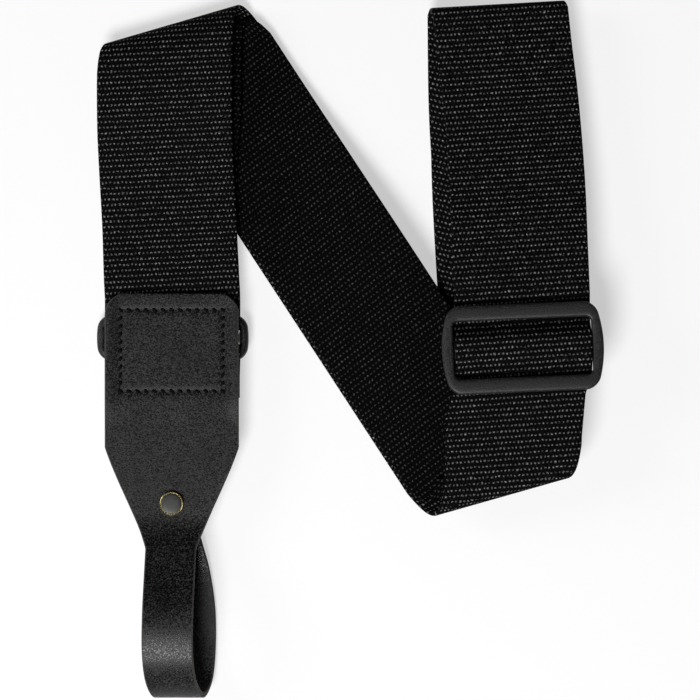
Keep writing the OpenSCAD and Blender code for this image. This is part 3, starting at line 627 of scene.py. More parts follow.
def skin(name, rungs, places, heights, material, edge_cells=0, edge=None):
    """A closed strip round its rungs, with a UV map in mm. Its rounded edges may take another material, such as
    the leather's painted edge highlight.
    """
    points = np.array(rungs)
    rows, columns = points.shape[:2]
    lift = surface_normals(points) * np.asarray(heights)[..., None]
    ring = list(range(columns)) + list(range(2 * columns - 1, columns - 1, -1))
    sides = list(zip(ring, ring[1:] + ring[:1]))
    stacked = np.concatenate([points + lift, points - lift], axis=1)
    wide = np.broadcast_to(places, (rows, columns))
    steps = np.linalg.norm(np.diff(points, axis=0), axis=2)
    ahead = unit(points[1].mean(axis=0) - points[0].mean(axis=0))
    first = (points[0] - points[0].mean(axis=0)) @ ahead
    long = first + np.concatenate([np.zeros((1, columns)), np.cumsum(steps, axis=0)])
    strap_mm = np.stack([wide, long], axis=2)
    strap_mm = np.concatenate([strap_mm, strap_mm], axis=1).reshape(-1, 2)
    width = 2 * columns
    faces = []
    for i in range(rows - 1):
        for a, b in sides:
            faces.append((i * width + a, i * width + b, (i + 1) * width + b, (i + 1) * width + a))
    for i in (0, rows - 1):
        faces += [(i * width + k, i * width + k + 1, i * width + columns + k + 1, i * width + columns + k)
                  for k in range(columns - 1)]
    piece = finish_mesh(name, stacked.reshape(-1, 3), faces, material)
    mesh = piece.data
    if edge:
        mesh.materials.append(edge)
        outer = [min(side, key=lambda k: -abs(k % columns - columns // 2)) for side in sides]
        at_edge = [min(k % columns, columns - 1 - k % columns) < edge_cells for k in outer]
        marks = at_edge * (rows - 1) + [True] * (2 * (columns - 1))
        mesh.polygons.foreach_set("material_index", np.array(marks, np.int32))
    loops = np.empty(len(mesh.loops), int)
    mesh.loops.foreach_get("vertex_index", loops)
    mesh.uv_layers.new(name="strap_mm").data.foreach_set("uv", strap_mm[loops].astype(np.float32).ravel())
    work = bmesh.new()
    work.from_mesh(mesh)
    bmesh.ops.remove_doubles(work, verts=work.verts, dist=MERGE * MM)
    work.to_mesh(mesh)
    work.free()
    return piece, float(long[-1].mean())


print("doubles merge within", MERGE, "mm")


# %% Folded lengths of the webbing
def webbing(name, rungs, nodes, body=None, material=woven_nylon):
    """One length of webbing, skinned round its rungs and put on its body when it has one."""
    piece, length = skin(name, rungs, WEB_PLACES, WEB_HEIGHTS, material)
    if body:
        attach(piece, body)
    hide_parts(*nodes)
    print(name, "is", round(length), "mm long")
    return piece


# The return strand shows the diagonal, so it takes the copy with the dimmer painted glint.
webbing("return_strand", return_rungs, ["webbing_return"], "webbing", woven_nylon_dim_glint)
webbing("front_strand", front_rungs, ["webbing_front"], "webbing")
webbing("tail_strand", tail_rungs, ["webbing_tail"], "webbing")
webbing("sewn_end", sewn_rungs, ["webbing_return_end"], "slider")


low_piece = webbing("slider_run_low", low_run, ["webbing_slider_run"], material=woven_nylon_run)
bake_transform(low_piece)
high_piece = webbing("slider_run_high", high_run, ["webbing_slider_run"], material=woven_nylon_run)
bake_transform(high_piece)
return_piece = webbing("sewn_end_run", return_run, ["webbing_return_end"],
                       material=woven_nylon_run)
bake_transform(return_piece)

# %% [markdown]
# ## Leather
# The headstock tab is one piece of black leather, about 2 mm thick, with a fine grain and a soft gloss. Its cut
# edges get a paler colour than its face, a painted highlight for the light that the edges catch. A grain of
# lighter and darker colour looks like dust on black leather, so here it shows mainly as small changes of gloss,
# from fine noise, with a faint bump of cells and the same noise. The colour still goes from dark to lighter with
# that noise and a wide cloud of noise: random tone, and partly painted sheen for the glints of the grain and
# soft patches of sheen. The grain is really about half a millimetre wide, and is drawn a little coarser so that
# it shows.

# %% Leather materials
GRAIN, FINE, CLOUD = 0.8, 0.6, 14.0
PORE_EDGE, FINE_SHARE, GRAIN_H = 0.22, 0.8, 0.12
CLOUD_SHARE, TONE_FROM, TONE_TO = 0.2, 0.6, 0.9
GLOSS_FROM, GLOSS_TO, GLOSS_SWING = 0.38, 0.62, 0.16


def leather_material(name, dark, light, roughness):
    """Leather between a dark and a light tone, the light one partly painted sheen, whose grain shows as changes
    of gloss.
    """
    material, tree, shader = new_material(name, Specular_IOR_Level=0.33)
    place = add_node(tree, "ShaderNodeTexCoord").outputs["Object"]
    grain = {"Vector": place, "Scale": 1 / (GRAIN * MM), "Randomness": 1.0}
    cells = add_node(tree, "ShaderNodeTexVoronoi", grain, feature="DISTANCE_TO_EDGE").outputs["Distance"]
    pore = add_node(tree, RANGE, {"Value": cells, "From Max": PORE_EDGE}).outputs[0]
    fine, cloud = [add_node(tree, NOISE, {"Vector": place, "Scale": 1 / (size * MM), "Detail": 2.0}).outputs[0]
                   for size in (FINE, CLOUD)]
    height = add_node(tree, MATHS, {0: fine, 1: FINE_SHARE, 2: pore}, operation="MULTIPLY_ADD").outputs[0]
    bump = add_node(tree, "ShaderNodeBump", {"Height": height, "Strength": 0.16, "Distance": GRAIN_H * MM})
    # The lighter tone is partly painted sheen: light grain specks and a wide cloud stand in for glints and
    # patches of sheen.
    tone = add_node(tree, MATHS, {0: cloud, 1: CLOUD_SHARE, 2: fine}, operation="MULTIPLY_ADD").outputs[0]
    tone_and_sheen_share = add_node(tree, RANGE, {"Value": tone, "From Min": TONE_FROM, "From Max": TONE_TO}).outputs[0]
    colours = {0: tone_and_sheen_share, COLOUR_A: linear(dark), COLOUR_B: linear(light)}
    colour = add_node(tree, MIX, colours, data_type="RGBA")
    gloss = add_node(tree, RANGE, {"Value": fine, "From Min": GLOSS_FROM, "From Max": GLOSS_TO,
                                   "To Min": roughness - GLOSS_SWING, "To Max": roughness + GLOSS_SWING})
    tree.links.new(colour.outputs[COLOUR_OUT], shader.inputs["Base Color"])
    tree.links.new(gloss.outputs[0], shader.inputs["Roughness"])
    tree.links.new(bump.outputs[0], shader.inputs["Normal"])
    return material


grain_leather = leather_material("black_grain_leather", "#020202", "#3a3938", 0.45)
# The cut edge's paler colour is a painted highlight for the light that the edges catch.
lit_edge_leather = leather_material("leather_edge_painted_highlight", "#2f2d2b", "#4a4743", 0.7)
print("leather grain", GRAIN, "mm")

# %% [markdown]
# ## Headstock leather
# The panel has two rounded top corners, tapers to a strip and bends back under itself into a loop. A cut plane
# could be bent by modifiers, but rungs along a centre line give the taper, the loop and the relief at once. The
# line is the same list of places as in the solids, drawn as a smooth curve with a soft bend where the flat
# panel ends. The sewn box pulls the leather down along its stitches, so the margins outside it stand up a
# little, the right one most. The lower half of the loop is a second piece that starts on the crest of the loop,
# where the real leather bends between the tab and the tongue when the press stud is opened.

# %% Line of the loop
LEATHER_T, PANEL_W, STRIP_W, PANEL_CORNER = 2.2, 50.4, 19.0, 8.0
PANEL_TOP, PANEL_Z, FLAT_END, TAPER_FROM, TAPER_TO = 21.0, 10.1, -66.0, -37.0, -75.0
TONGUE_Z, LOOP_FLOOR, TONGUE_END = 4.7, 1.1, -47.0
LOOP_LINE = np.array([
    (0, FLAT_END, PANEL_Z), (-0.4, -82, PANEL_Z + 6), (-0.8, -98, PANEL_Z + 12), (-0.9, -113, PANEL_Z + 11.8),
    (0.1, -124.4, PANEL_Z + 6.2), (2.8, -130.2, PANEL_Z - 1.2), (5.5, -125, LOOP_FLOOR + 2),
    (6.6, -113, LOOP_FLOOR + 0.2), (6.4, -98, LOOP_FLOOR + 0.2), (4.4, -84, LOOP_FLOOR + 1),
    (1.6, -73, TONGUE_Z - 0.5), (0, FLAT_END, TONGUE_Z)])
HINGE_INDEX, CREST, LOOP_LAST = 5, 2.5, len(LOOP_LINE) - 1
LEAD = 14
TAPER_EASE = 0.2


def loop_at(t):
    """The loop's centre line at t, where whole numbers are the places in the list."""
    line = np.vstack([(0, FLAT_END + LEAD, PANEL_Z), LOOP_LINE, (0, FLAT_END + LEAD, TONGUE_Z)])
    i = min(int(t), LOOP_LAST - 1)
    a, b, c, d = line[i:i + 4]
    f = t - i
    return 0.5 * (2 * b + (c - a) * f + (2 * a - 5 * b + 4 * c - d) * f**2 + (3 * b - a - 3 * c + d) * f**3)


def taper_half(y):
    """Half the width of the leather, from the panel down to the strip."""
    f = np.clip((TAPER_FROM - y) / (TAPER_FROM - TAPER_TO), 0.0, 1.0)
    return PANEL_W / 2 - (PANEL_W - STRIP_W) / 2 * mix(f, smooth(f), TAPER_EASE)


print("crest of the loop", round(loop_at(CREST)[2], 1), "mm high")

# %% Relief of the sewn panel
BOX_W, BOX_LEN, BOX_Y = 38.5, 30.5, -0.6
LEFT_RISE, RIGHT_RISE, END_RISE, MARGIN_W = 0.45, 0.8, 0.1, 5.0
RELIEF_END, RELIEF_FADE = -30.0, 14.0
STITCH_DIP, DIP_W = 0.16, 1.1


def sewn_relief(x, y):
    """How far the panel's face stands above its plane, beside the stitched box."""
    over = np.abs(x) - BOX_W / 2
    past = np.abs(y - BOX_Y) - BOX_LEN / 2
    outside = np.hypot(np.maximum(over, 0), np.maximum(past, 0)) + np.minimum(np.maximum(over, past), 0)
    sides = np.where(x > 0, RIGHT_RISE, LEFT_RISE) * smooth(over / MARGIN_W)
    margin = (sides + END_RISE * smooth(past / MARGIN_W)) * smooth((y - RELIEF_END) / RELIEF_FADE)
    return margin - STITCH_DIP * np.exp(-(outside / DIP_W) ** 2)


print("right margin stands", round(float(sewn_relief(PANEL_W / 2, BOX_Y)), 2), "mm up")

# %% Leather strips
EDGE_R = 0.5
LEATHER_CELLS, EDGE_CELLS = 60, 4


def level_line(y, z):
    """A straight centre line along y, at one height."""
    return np.stack([np.zeros(len(y)), y, np.full(len(y), z)], axis=1)


def leather_strip(name, line, halves, ends, relief=None):
    """A strip of leather along a centre line, with half widths, and a rounded rim at the ends named."""
    line, halves = np.asarray(line, float), np.asarray(halves, float)
    far = np.concatenate([[0], np.cumsum(np.linalg.norm(np.diff(line, axis=0), axis=1))])
    near_end = np.full(len(line), EDGE_R)
    if "first" in ends:
        near_end = np.minimum(near_end, far)
    if "last" in ends:
        near_end = np.minimum(near_end, far[-1] - far)
    thin = EDGE_R - np.sqrt(np.maximum(EDGE_R**2 - (EDGE_R - near_end) ** 2, 0))
    rungs, heights = [], []
    for p, half, less in zip(line, halves, thin):
        places, height = side_profile(half, LEATHER_T, EDGE_R, LEATHER_CELLS, EDGE_STEPS)
        y, z = np.full(len(places), p[1]), np.full(len(places), p[2])
        rungs.append(np.stack([RING_X + p[0] + places, y, z], axis=1))
        heights.append(height - less)
    rungs = np.array(rungs)
    if relief:
        rungs[:, :, 2] += relief(rungs[:, :, 0] - RING_X, rungs[:, :, 1])
    piece, length = skin(name, rungs, places, np.array(heights), grain_leather, EDGE_CELLS, lit_edge_leather)
    print(name, "is", round(length), "mm long")
    return piece


print("rounded edge of the leather", EDGE_R, "mm")

# %% Panel and front of the loop
PANEL_STEP, LOOP_STEP, TINY = 0.7, 0.05, 0.001
SOFT_BEND = 4.0
CORNER_RUNGS = 22
rim = EDGE_R * (1 - np.cos(np.linspace(0, np.pi / 2, EDGE_STEPS + 1)))
corner = PANEL_CORNER * (1 - np.cos(np.linspace(0, np.pi / 2, CORNER_RUNGS)))
corner = np.unique(np.round(np.concatenate([rim, corner[corner > EDGE_R]]), 4))
corner_half = PANEL_W / 2 - PANEL_CORNER + np.sqrt(PANEL_CORNER**2 - (PANEL_CORNER - corner) ** 2)
panel_y = np.arange(PANEL_TOP - PANEL_CORNER - PANEL_STEP, FLAT_END, -PANEL_STEP)
rise = np.array([loop_at(t) for t in np.arange(0, CREST + TINY, LOOP_STEP)])
unbent = np.vstack([level_line(panel_y, PANEL_Z), rise])
panel_line = np.vstack([level_line(PANEL_TOP - corner, PANEL_Z), unbent])
for i in np.flatnonzero(np.abs(panel_line[:, 1] - FLAT_END) < 3 * SOFT_BEND):
    weights = np.exp(-((unbent[:, 1] - panel_line[i, 1]) / SOFT_BEND) ** 2)
    panel_line[i, 2] = np.average(unbent[:, 2], weights=weights)
panel_halves = np.concatenate([corner_half, taper_half(panel_y), taper_half(rise[:, 1])])
tab = leather_strip("headstock_tab_leather", panel_line, panel_halves, ["first"], sewn_relief)
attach(tab, "headstock_tab")
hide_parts("headstock_leather")

# %% Lower half of the loop and its tongue
TONGUE_R, TONGUE_STEP, ROUND_RUNGS = STRIP_W / 2, 0.8, 26
NEAR_TIP, NEAR_TIP_HALF, TIP_HALF = 0.05, 1.1, 0.8
fall_t = np.arange(CREST, LOOP_LAST + TINY, LOOP_STEP)
fall = np.array([loop_at(t) for t in fall_t])
fall_half = np.where(fall_t < HINGE_INDEX, taper_half(fall[:, 1]), STRIP_W / 2)
straight_y = np.arange(FLAT_END + TONGUE_STEP, TONGUE_END - TONGUE_R, TONGUE_STEP)
round_turn = np.linspace(0, np.pi / 2, ROUND_RUNGS)[:-1]
round_y = TONGUE_END - TONGUE_R + TONGUE_R * np.sin(round_turn)
tongue_y = np.concatenate([straight_y, round_y, [TONGUE_END - NEAR_TIP, TONGUE_END]])
tongue_half = np.concatenate([np.full(len(straight_y), TONGUE_R), TONGUE_R * np.cos(round_turn),
                              [NEAR_TIP_HALF, TIP_HALF]])
tongue = leather_strip("loop_tongue_leather", np.vstack([fall, level_line(tongue_y, TONGUE_Z)]),
                       np.maximum(np.concatenate([fall_half, tongue_half]), TIP_HALF), ["last"])
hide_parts("loop_tongue")
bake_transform(tongue)

# %% [markdown]
# ## Chape
# A short loop of the same webbing holds the leather on the ring. It goes round the ring's lower bar, and both
# its ends are sewn under the panel. It is made of rungs, as the long webbing is.

# %% Chape
CHAPE_END, CHAPE_JOIN, CHAPE_LIFT = -18.4, CHAPE_BAR_Y - 8, 0.4
CHAPE_UPPER_Y, CHAPE_LOWER_Y = CHAPE_BAR_Y - 3, CHAPE_BAR_Y - 2
chape_upper, chape_lower = RING_Z + CHAPE_R, RING_Z + CHAPE_R - PITCH
chape_line = [(CHAPE_END, chape_upper), (CHAPE_JOIN, chape_upper), (CHAPE_UPPER_Y, chape_upper)]
for a in np.radians(np.linspace(90, -90, FOLD_STEPS + 1)):
    chape_line.append((CHAPE_BAR_Y + CHAPE_R * math.cos(a), RING_Z + CHAPE_R * math.sin(a)))
chape_line += [(CHAPE_LOWER_Y, RING_Z - CHAPE_R + CHAPE_LIFT), (CHAPE_JOIN, chape_lower),
               (CHAPE_END, chape_lower)]
chape_rungs = refine([across((RING_X + HALF_W, y, z), (RING_X - HALF_W, y, z)) for y, z in chape_line])
webbing("chape_strand", chape_rungs, ["ring_chape"], "headstock_tab")

# %% [markdown]
# ## Moulded plastic
# The ring and the slider are moulded in a tough black plastic with a fine satin skin. A bevelled plate with a
# hole would do, but the real bars are rounded and the short sides bow. So each is drawn between an outer and an
# inner outline with rounded corners, and a rounded section is carried round between the two. The slider also
# has a lower centre bar, which the sewn end of the webbing goes round. The grit of the skin is drawn a little
# coarser than it is, so that it shows.

# %% Plastic material
SKIN_GRIT, GRIT_H = 0.4, 0.12
SPECKS_FROM, SPECKS_TO = 0.42, 0.7
satin_plastic, tree, shader = new_material("satin_moulded_plastic", Roughness=0.45, Specular_IOR_Level=0.3)
place = add_node(tree, "ShaderNodeTexCoord").outputs["Object"]
grit = add_node(tree, NOISE, {"Vector": place, "Scale": 1 / (SKIN_GRIT * MM), "Detail": 3.0}).outputs[0]
bump = add_node(tree, "ShaderNodeBump", {"Height": grit, "Strength": 0.6, "Distance": GRIT_H * MM})
specks = add_node(tree, RANGE, {"Value": grit, "From Min": SPECKS_FROM, "From Max": SPECKS_TO}).outputs[0]
colours = {0: specks, COLOUR_A: linear("#040404"), COLOUR_B: linear("#383839")}
colour = add_node(tree, MIX, colours, data_type="RGBA")
tree.links.new(colour.outputs[COLOUR_OUT], shader.inputs["Base Color"])
tree.links.new(bump.outputs[0], shader.inputs["Normal"])
print("plastic grit", SKIN_GRIT, "mm")

# %% Outlines and sections
CORNER_STEPS, SIDE_STEPS = 13, 14
CORNER_PART = math.radians(4)


def rounded_outline(half_x, half_y, corner, bow):
    """Points round a rectangle with rounded corners, whose two short sides bow outwards."""
    points = []
    for sx, sy, first in ((1, 1, 0), (-1, 1, 90), (-1, -1, 180), (1, -1, 270)):
        middle_x, middle_y = sx * (half_x - corner), sy * (half_y - corner)
        for a in np.radians(np.linspace(first, first + 90, CORNER_STEPS)):
            points.append((middle_x + corner * math.cos(a), middle_y + corner * math.sin(a)))
    out = []
    for p, q in zip(points, points[1:] + points[:1]):
        gap = np.hypot(q[0] - p[0], q[1] - p[1])
        count = SIDE_STEPS if gap > 2 * corner * math.sin(CORNER_PART) else 1
        out += [mix(np.array(p), np.array(q), k / count) for k in range(count)]
    out = np.array(out)
    out[:, 0] -= np.sign(out[:, 0]) * bow * (out[:, 1] / half_y) ** 2 * np.abs(out[:, 0]) / half_x
    return out


def section(exponent, steps):
    """A rounded section between a circle, with an exponent of 2, and a square."""
    turn = np.linspace(0, 2 * np.pi, steps, endpoint=False)
    power = 2 / exponent
    return [np.sign(side) * np.abs(side) ** power for side in (np.cos(turn), np.sin(turn))]


print("points of an outline:", len(rounded_outline(20, 10, 3, 0)))

# %% Frames
FRAME_STEPS = 20


def grid_faces(rows, columns, first, closed):
    """Faces of rings of points, joined in a loop or capped at both ends."""
    faces = []
    for i in range(rows if closed else rows - 1):
        for k in range(columns):
            a, b = first + i * columns, first + (i + 1) % rows * columns
            faces.append((a + k, a + (k + 1) % columns, b + (k + 1) % columns, b + k))
    if not closed:
        for row in (0, rows - 1):
            faces.append(tuple(first + row * columns + k for k in range(columns)))
    return faces


def frame_shell(outer, inner, bar_half, arm_half, exponent, steps=FRAME_STEPS):
    """The points and faces of a moulded frame between two outlines, level at height nought."""
    wide, high = section(exponent, steps)
    middle, reach = (outer + inner) / 2, (outer - inner) / 2
    toward_bar = reach[:, 1] ** 2 / (reach**2).sum(axis=1)
    half = mix(arm_half, bar_half, toward_bar)
    plan = middle[:, None, :] + reach[:, None, :] * wide[None, :, None]
    points = np.concatenate([plan, (half[:, None] * high[None, :])[..., None]], axis=2)
    return points.reshape(-1, 3), grid_faces(len(outer), steps, 0, True)


def moulding(name, points, faces, body, node):
    """A plastic piece that rides on a body in the place of a solid."""
    piece = finish_mesh(name, points, faces, satin_plastic)
    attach(piece, body)
    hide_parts(node)


print("points round a frame's section:", FRAME_STEPS)

# %% Ring
RING_ARM_W, RING_CORNER, RING_BOW = 2.9, 5.0, 1.2
RING_INNER, INNER_CORNER, INNER_BOW = HALF_W + LAYER_GAP, 2.0, 0.9
RING_EXPONENT = 2.2
ring_half = (RING_INNER + RING_ARM_W, (RING_BAR_GAP + RING_BAR_D) / 2)
ring_outer = rounded_outline(*ring_half, RING_CORNER, RING_BOW)
ring_inner = rounded_outline(RING_INNER - INNER_BOW, (RING_BAR_GAP - RING_BAR_D) / 2, INNER_CORNER, -INNER_BOW)
ring_points, ring_faces = frame_shell(ring_outer, ring_inner, RING_BAR_D / 2, RING_BAR_D / 2, RING_EXPONENT)
ring_points += (RING_X, (WEB_BAR_Y + CHAPE_BAR_Y) / 2, RING_Z)
moulding("strap_ring_moulding", ring_points, ring_faces, "ring", "strap_ring")
print("ring", round(2 * ring_half[0], 1), "by", round(2 * ring_half[1], 1), "mm")

# %% Slider
SLIDER_ARM_W, SLIDER_ARM_T, SLIDER_CORNER, SLIDER_BOW = 4.4, SLIDER_BAR_T - 0.6, 4.5, 3.06
SLIDER_INNER = HALF_W + LAYER_GAP
SLIDER_HALF = SLIDER_INNER + SLIDER_ARM_W
SLIDER_EXPONENT, SLIDER_STEPS = 4.0, 28
BAR_EXPONENT, BAR_SHOULDER, BAR_RINGS = 3.0, 1.6, 61
slider_outer = rounded_outline(SLIDER_HALF, SLIDER_END, SLIDER_CORNER, SLIDER_BOW)
slider_inner = rounded_outline(SLIDER_INNER, WINDOW_LEN / 2, INNER_CORNER, 0.0)
slider_points, slider_faces = frame_shell(slider_outer, slider_inner, SLIDER_BAR_T / 2, SLIDER_ARM_T / 2,
                                          SLIDER_EXPONENT, SLIDER_STEPS)
bar_end = SLIDER_INNER + SLIDER_ARM_W / 2
bar_x = np.linspace(-bar_end, bar_end, BAR_RINGS)
bar_z = -CENTRE_DROP * (1 - smooth((np.abs(bar_x) - SLIDER_INNER) / BAR_SHOULDER))
wide, high = section(BAR_EXPONENT, FRAME_STEPS)
bar_rings = np.broadcast_arrays(bar_x[:, None], CENTRE_BAR_W / 2 * wide[None, :],
                                bar_z[:, None] + CENTRE_BAR_T / 2 * high[None, :])
slider_faces += grid_faces(len(bar_x), len(wide), len(slider_points), False)
slider_points = np.vstack([slider_points, np.stack(bar_rings, axis=2).reshape(-1, 3)])


def turned_by(plan, angle):
    return plan @ np.array([[math.cos(angle), -math.sin(angle)], [math.sin(angle), math.cos(angle)]]).T


slider_points[:, :2] = turned_by(slider_points[:, :2], SLIDER_ANGLE)
slider_points += (SLIDER_X, SLIDER_Y, SLIDER_Z)
moulding("slider_moulding", slider_points, slider_faces, "slider", "slider_frame")
print("slider", round(2 * SLIDER_HALF, 1), "by", round(2 * SLIDER_END, 1), "mm")

# %% [markdown]
# ## Press stud
# The press stud is pressed brass. Its cap is a flat disc with a dull grey coating and a thin bright rim. Under
# the panel is the socket, and the tongue carries the stud and the flange of its post. All four are round, so
# each is turned from its profile, as on a lathe. The brass is mottled by wear, which also varies its gloss.

# %% Metals
WEAR, WEAR_GLOSS = 0.9, 0.1


def metal(name, dark, light, roughness, metallic):
    """Metal between a dark and a light tone, mottled by wear."""
    material, tree, shader = new_material(name, Metallic=metallic)
    place = add_node(tree, "ShaderNodeTexCoord").outputs["Object"]
    wear = add_node(tree, NOISE, {"Vector": place, "Scale": 1 / (WEAR * MM), "Detail": 4.0}).outputs[0]
    colours = {0: wear, COLOUR_A: linear(dark), COLOUR_B: linear(light)}
    colour = add_node(tree, MIX, colours, data_type="RGBA")
    rough = add_node(tree, RANGE, {"Value": wear, "To Min": roughness - WEAR_GLOSS,
                                   "To Max": roughness + WEAR_GLOSS})
    tree.links.new(colour.outputs[COLOUR_OUT], shader.inputs["Base Color"])
    tree.links.new(rough.outputs[0], shader.inputs["Roughness"])
    return material


coated_metal = metal("grey_coated_brass", "#31312f", "#434340", 0.5, 0.5)
old_brass = metal("old_brass", "#c0a868", "#f0e2b4", 0.3, 1.0)
print("wear on the metals", WEAR, "mm")

# %% Turned pieces
SNAP_Y = -58.0
PANEL_FACE, PANEL_BACK = PANEL_Z + LEATHER_T / 2, PANEL_Z - LEATHER_T / 2
TONGUE_FACE, TONGUE_BACK = TONGUE_Z + LEATHER_T / 2, TONGUE_Z - LEATHER_T / 2
TURN_STEPS = 48


def turned_piece(name, profile, z, body, node, material, split=None):
    """A piece turned from its profile at a height on the press stud's axis. Past the split it is bare brass."""
    angle = np.linspace(0, 2 * np.pi, TURN_STEPS, endpoint=False)
    points = [(RING_X + r * math.cos(a), SNAP_Y + r * math.sin(a), z + up) for r, up in profile for a in angle]
    faces = grid_faces(len(profile), TURN_STEPS, 0, False)
    piece = finish_mesh(name, points, faces, material, CRISP)
    if split:
        piece.data.materials.append(old_brass)
        for face in piece.data.polygons:
            far = np.hypot(face.center[0] - RING_X * MM, face.center[1] - SNAP_Y * MM)
            face.material_index = int(far > split * MM)
    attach(piece, body)
    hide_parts(node)


print("steps round a turned piece:", TURN_STEPS)

# %% Press stud
SOCKET_H = 2.4
RIM_FROM = 3.85
cap = [(0.05, 1.62), (1.6, 1.6), (2.9, 1.53), (3.55, 1.42), (3.8, 1.3), (3.88, 1.12), (3.98, 1.12),
       (4.05, 1.28), (4.2, 1.36), (4.36, 1.28), (4.48, 1.05), (4.5, 0.7), (4.46, 0.2), (4.3, 0.02), (1.6, 0.0),
       (1.6, -LEATHER_T)]
socket = [(1.6, SOCKET_H), (3.9, SOCKET_H), (4.2, 2.2), (4.2, 1.9), (3.6, 1.6), (3.4, 0.5), (3.2, 0.15),
          (2.8, 0.0), (2.55, 0.15), (2.5, 0.4), (2.5, 1.6), (0.05, 1.6)]
stud = [(0.05, 1.9), (1.3, 1.88), (1.9, 1.75), (2.15, 1.45), (2.1, 1.2), (1.85, 0.95), (1.8, 0.62), (3.9, 0.6),
        (4.2, 0.4), (4.2, 0.15), (4.0, 0.0), (0.05, 0.0)]
post = [(1.6, 2.2), (1.6, 0.0), (3.9, 0.0), (4.15, -0.15), (4.2, -0.35), (3.9, -0.52), (2.2, -0.6),
        (1.9, -0.45), (1.5, -0.1), (0.05, -0.1)]
turned_piece("snap_cap_turned", cap, PANEL_FACE, "headstock_tab", "snap_cap", coated_metal, RIM_FROM)
turned_piece("snap_socket_turned", socket, PANEL_BACK - SOCKET_H, "headstock_tab", "snap_socket", old_brass)
turned_piece("snap_stud_turned", stud, TONGUE_FACE, "tongue", "snap_stud", old_brass)
turned_piece("snap_post_turned", post, TONGUE_BACK, "tongue", "snap_post", old_brass)
print("press stud at", (RING_X, SNAP_Y))

# %% [markdown]
# ## Button end
# The far end of the webbing is sewn to a leather end with a round hole and a slit, which goes over the strap
# button of the guitar. It lies at the bottom of the folded strap. It is a flat piece with a hole, and a filled
# curve makes that in one step: its outline gets a thickness and a rolled edge, and becomes a mesh.

# %% Outline of the button end
SHOULDER, TIP_R, SHOULDER_FLARE = 58.0, 17.0, 5.0
TIP_FROM, TIP_TO, TIP_STEPS, HOLE_STEPS = -14, -166, 40, 48
BUTTON_D, BUTTON_INSET, SLIT_LEN, SLIT_W = 7.0, 15.0, 12.0, 1.0
half, neck = PANEL_W / 2, TIP_R + SHOULDER_FLARE
tip_turn = np.radians(np.linspace(TIP_FROM, TIP_TO, TIP_STEPS))
tip = [(TIP_R * math.cos(a), TIP_R * math.sin(a) - (END_LEN - TIP_R)) for a in tip_turn]
end_outline = [(-half, 0), (half, 0), (half, -END_OVERLAP), (neck, -SHOULDER), *tip, (-neck, -SHOULDER),
               (-half, -END_OVERLAP)]
slit_from = math.asin(SLIT_W / BUTTON_D)
hole_y = -(END_LEN - BUTTON_INSET)
slit_end = hole_y + BUTTON_D / 2 + SLIT_LEN
hole = [(BUTTON_D / 2 * math.sin(a), hole_y + BUTTON_D / 2 * math.cos(a))
        for a in np.linspace(slit_from, 2 * np.pi - slit_from, HOLE_STEPS)]
hole += [(-SLIT_W / 2, slit_end), (SLIT_W / 2, slit_end)]
print("button end", END_LEN, "mm long, hole", BUTTON_D, "mm")

# %% Button end
ROLL = 0.4
outline = bpy.data.curves.new("button_end_outline", "CURVE")
outline.dimensions = "2D"
outline.fill_mode = "BOTH"
outline.extrude = (END_T / 2 - ROLL) * MM
outline.bevel_depth = ROLL * MM
outline.bevel_resolution = 2
outline.offset = -ROLL * MM
for ring_of_points in (end_outline, hole):
    spline = outline.splines.new("POLY")
    spline.points.add(len(ring_of_points) - 1)
    for point, (x, y) in zip(spline.points, ring_of_points):
        point.co = (x * MM, y * MM, 0.0, 1.0)
    spline.use_cyclic_u = True
flat_end = bpy.data.objects.new("button_end_outline", outline)
bpy.context.scene.collection.objects.link(flat_end)
flat_mesh = bpy.data.meshes.new_from_object(flat_end.evaluated_get(bpy.context.evaluated_depsgraph_get()))
bpy.data.objects.remove(flat_end)
points = np.array([v.co for v in flat_mesh.vertices]) / MM
plan = END_TOP + points[:, :1] * left_of(END_WAY) - points[:, 1:2] * END_WAY
end_faces = [tuple(f.vertices) for f in flat_mesh.polygons]
end_piece = finish_mesh("button_end_leather_cut", np.column_stack([plan, points[:, 2] + END_T / 2]), end_faces,
                        grain_leather, CRISP)
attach(end_piece, "webbing")
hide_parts("button_end_leather")

# %% [markdown]
# ## Stitches
# Every stitch is the same short arc of black thread that dips into the surface at both ends. Geometry Nodes set
# one on each point of a list, because a stitch that is changed once then changes in every row. Each is turned
# along its row and slanted by a seeded chance turn, so that the rows look sewn. The rows reach the corners of
# the box, and their pitch is a little narrower than in the solids. The ply of the thread is drawn coarser than
# it is, so that it shows.

# %% Thread
PLY = 0.4
bonded_thread, tree, shader = new_material("bonded_black_thread", Roughness=0.6, Specular_IOR_Level=0.04)
place = add_node(tree, "ShaderNodeTexCoord").outputs["Object"]
ply = add_node(tree, NOISE, {"Vector": place, "Scale": 1 / (PLY * MM)}).outputs[0]
colours = {0: ply, COLOUR_A: linear("#020202"), COLOUR_B: linear("#101010")}
colour = add_node(tree, MIX, colours, data_type="RGBA")
tree.links.new(colour.outputs[COLOUR_OUT], shader.inputs["Base Color"])
print("ply of the thread", PLY, "mm")

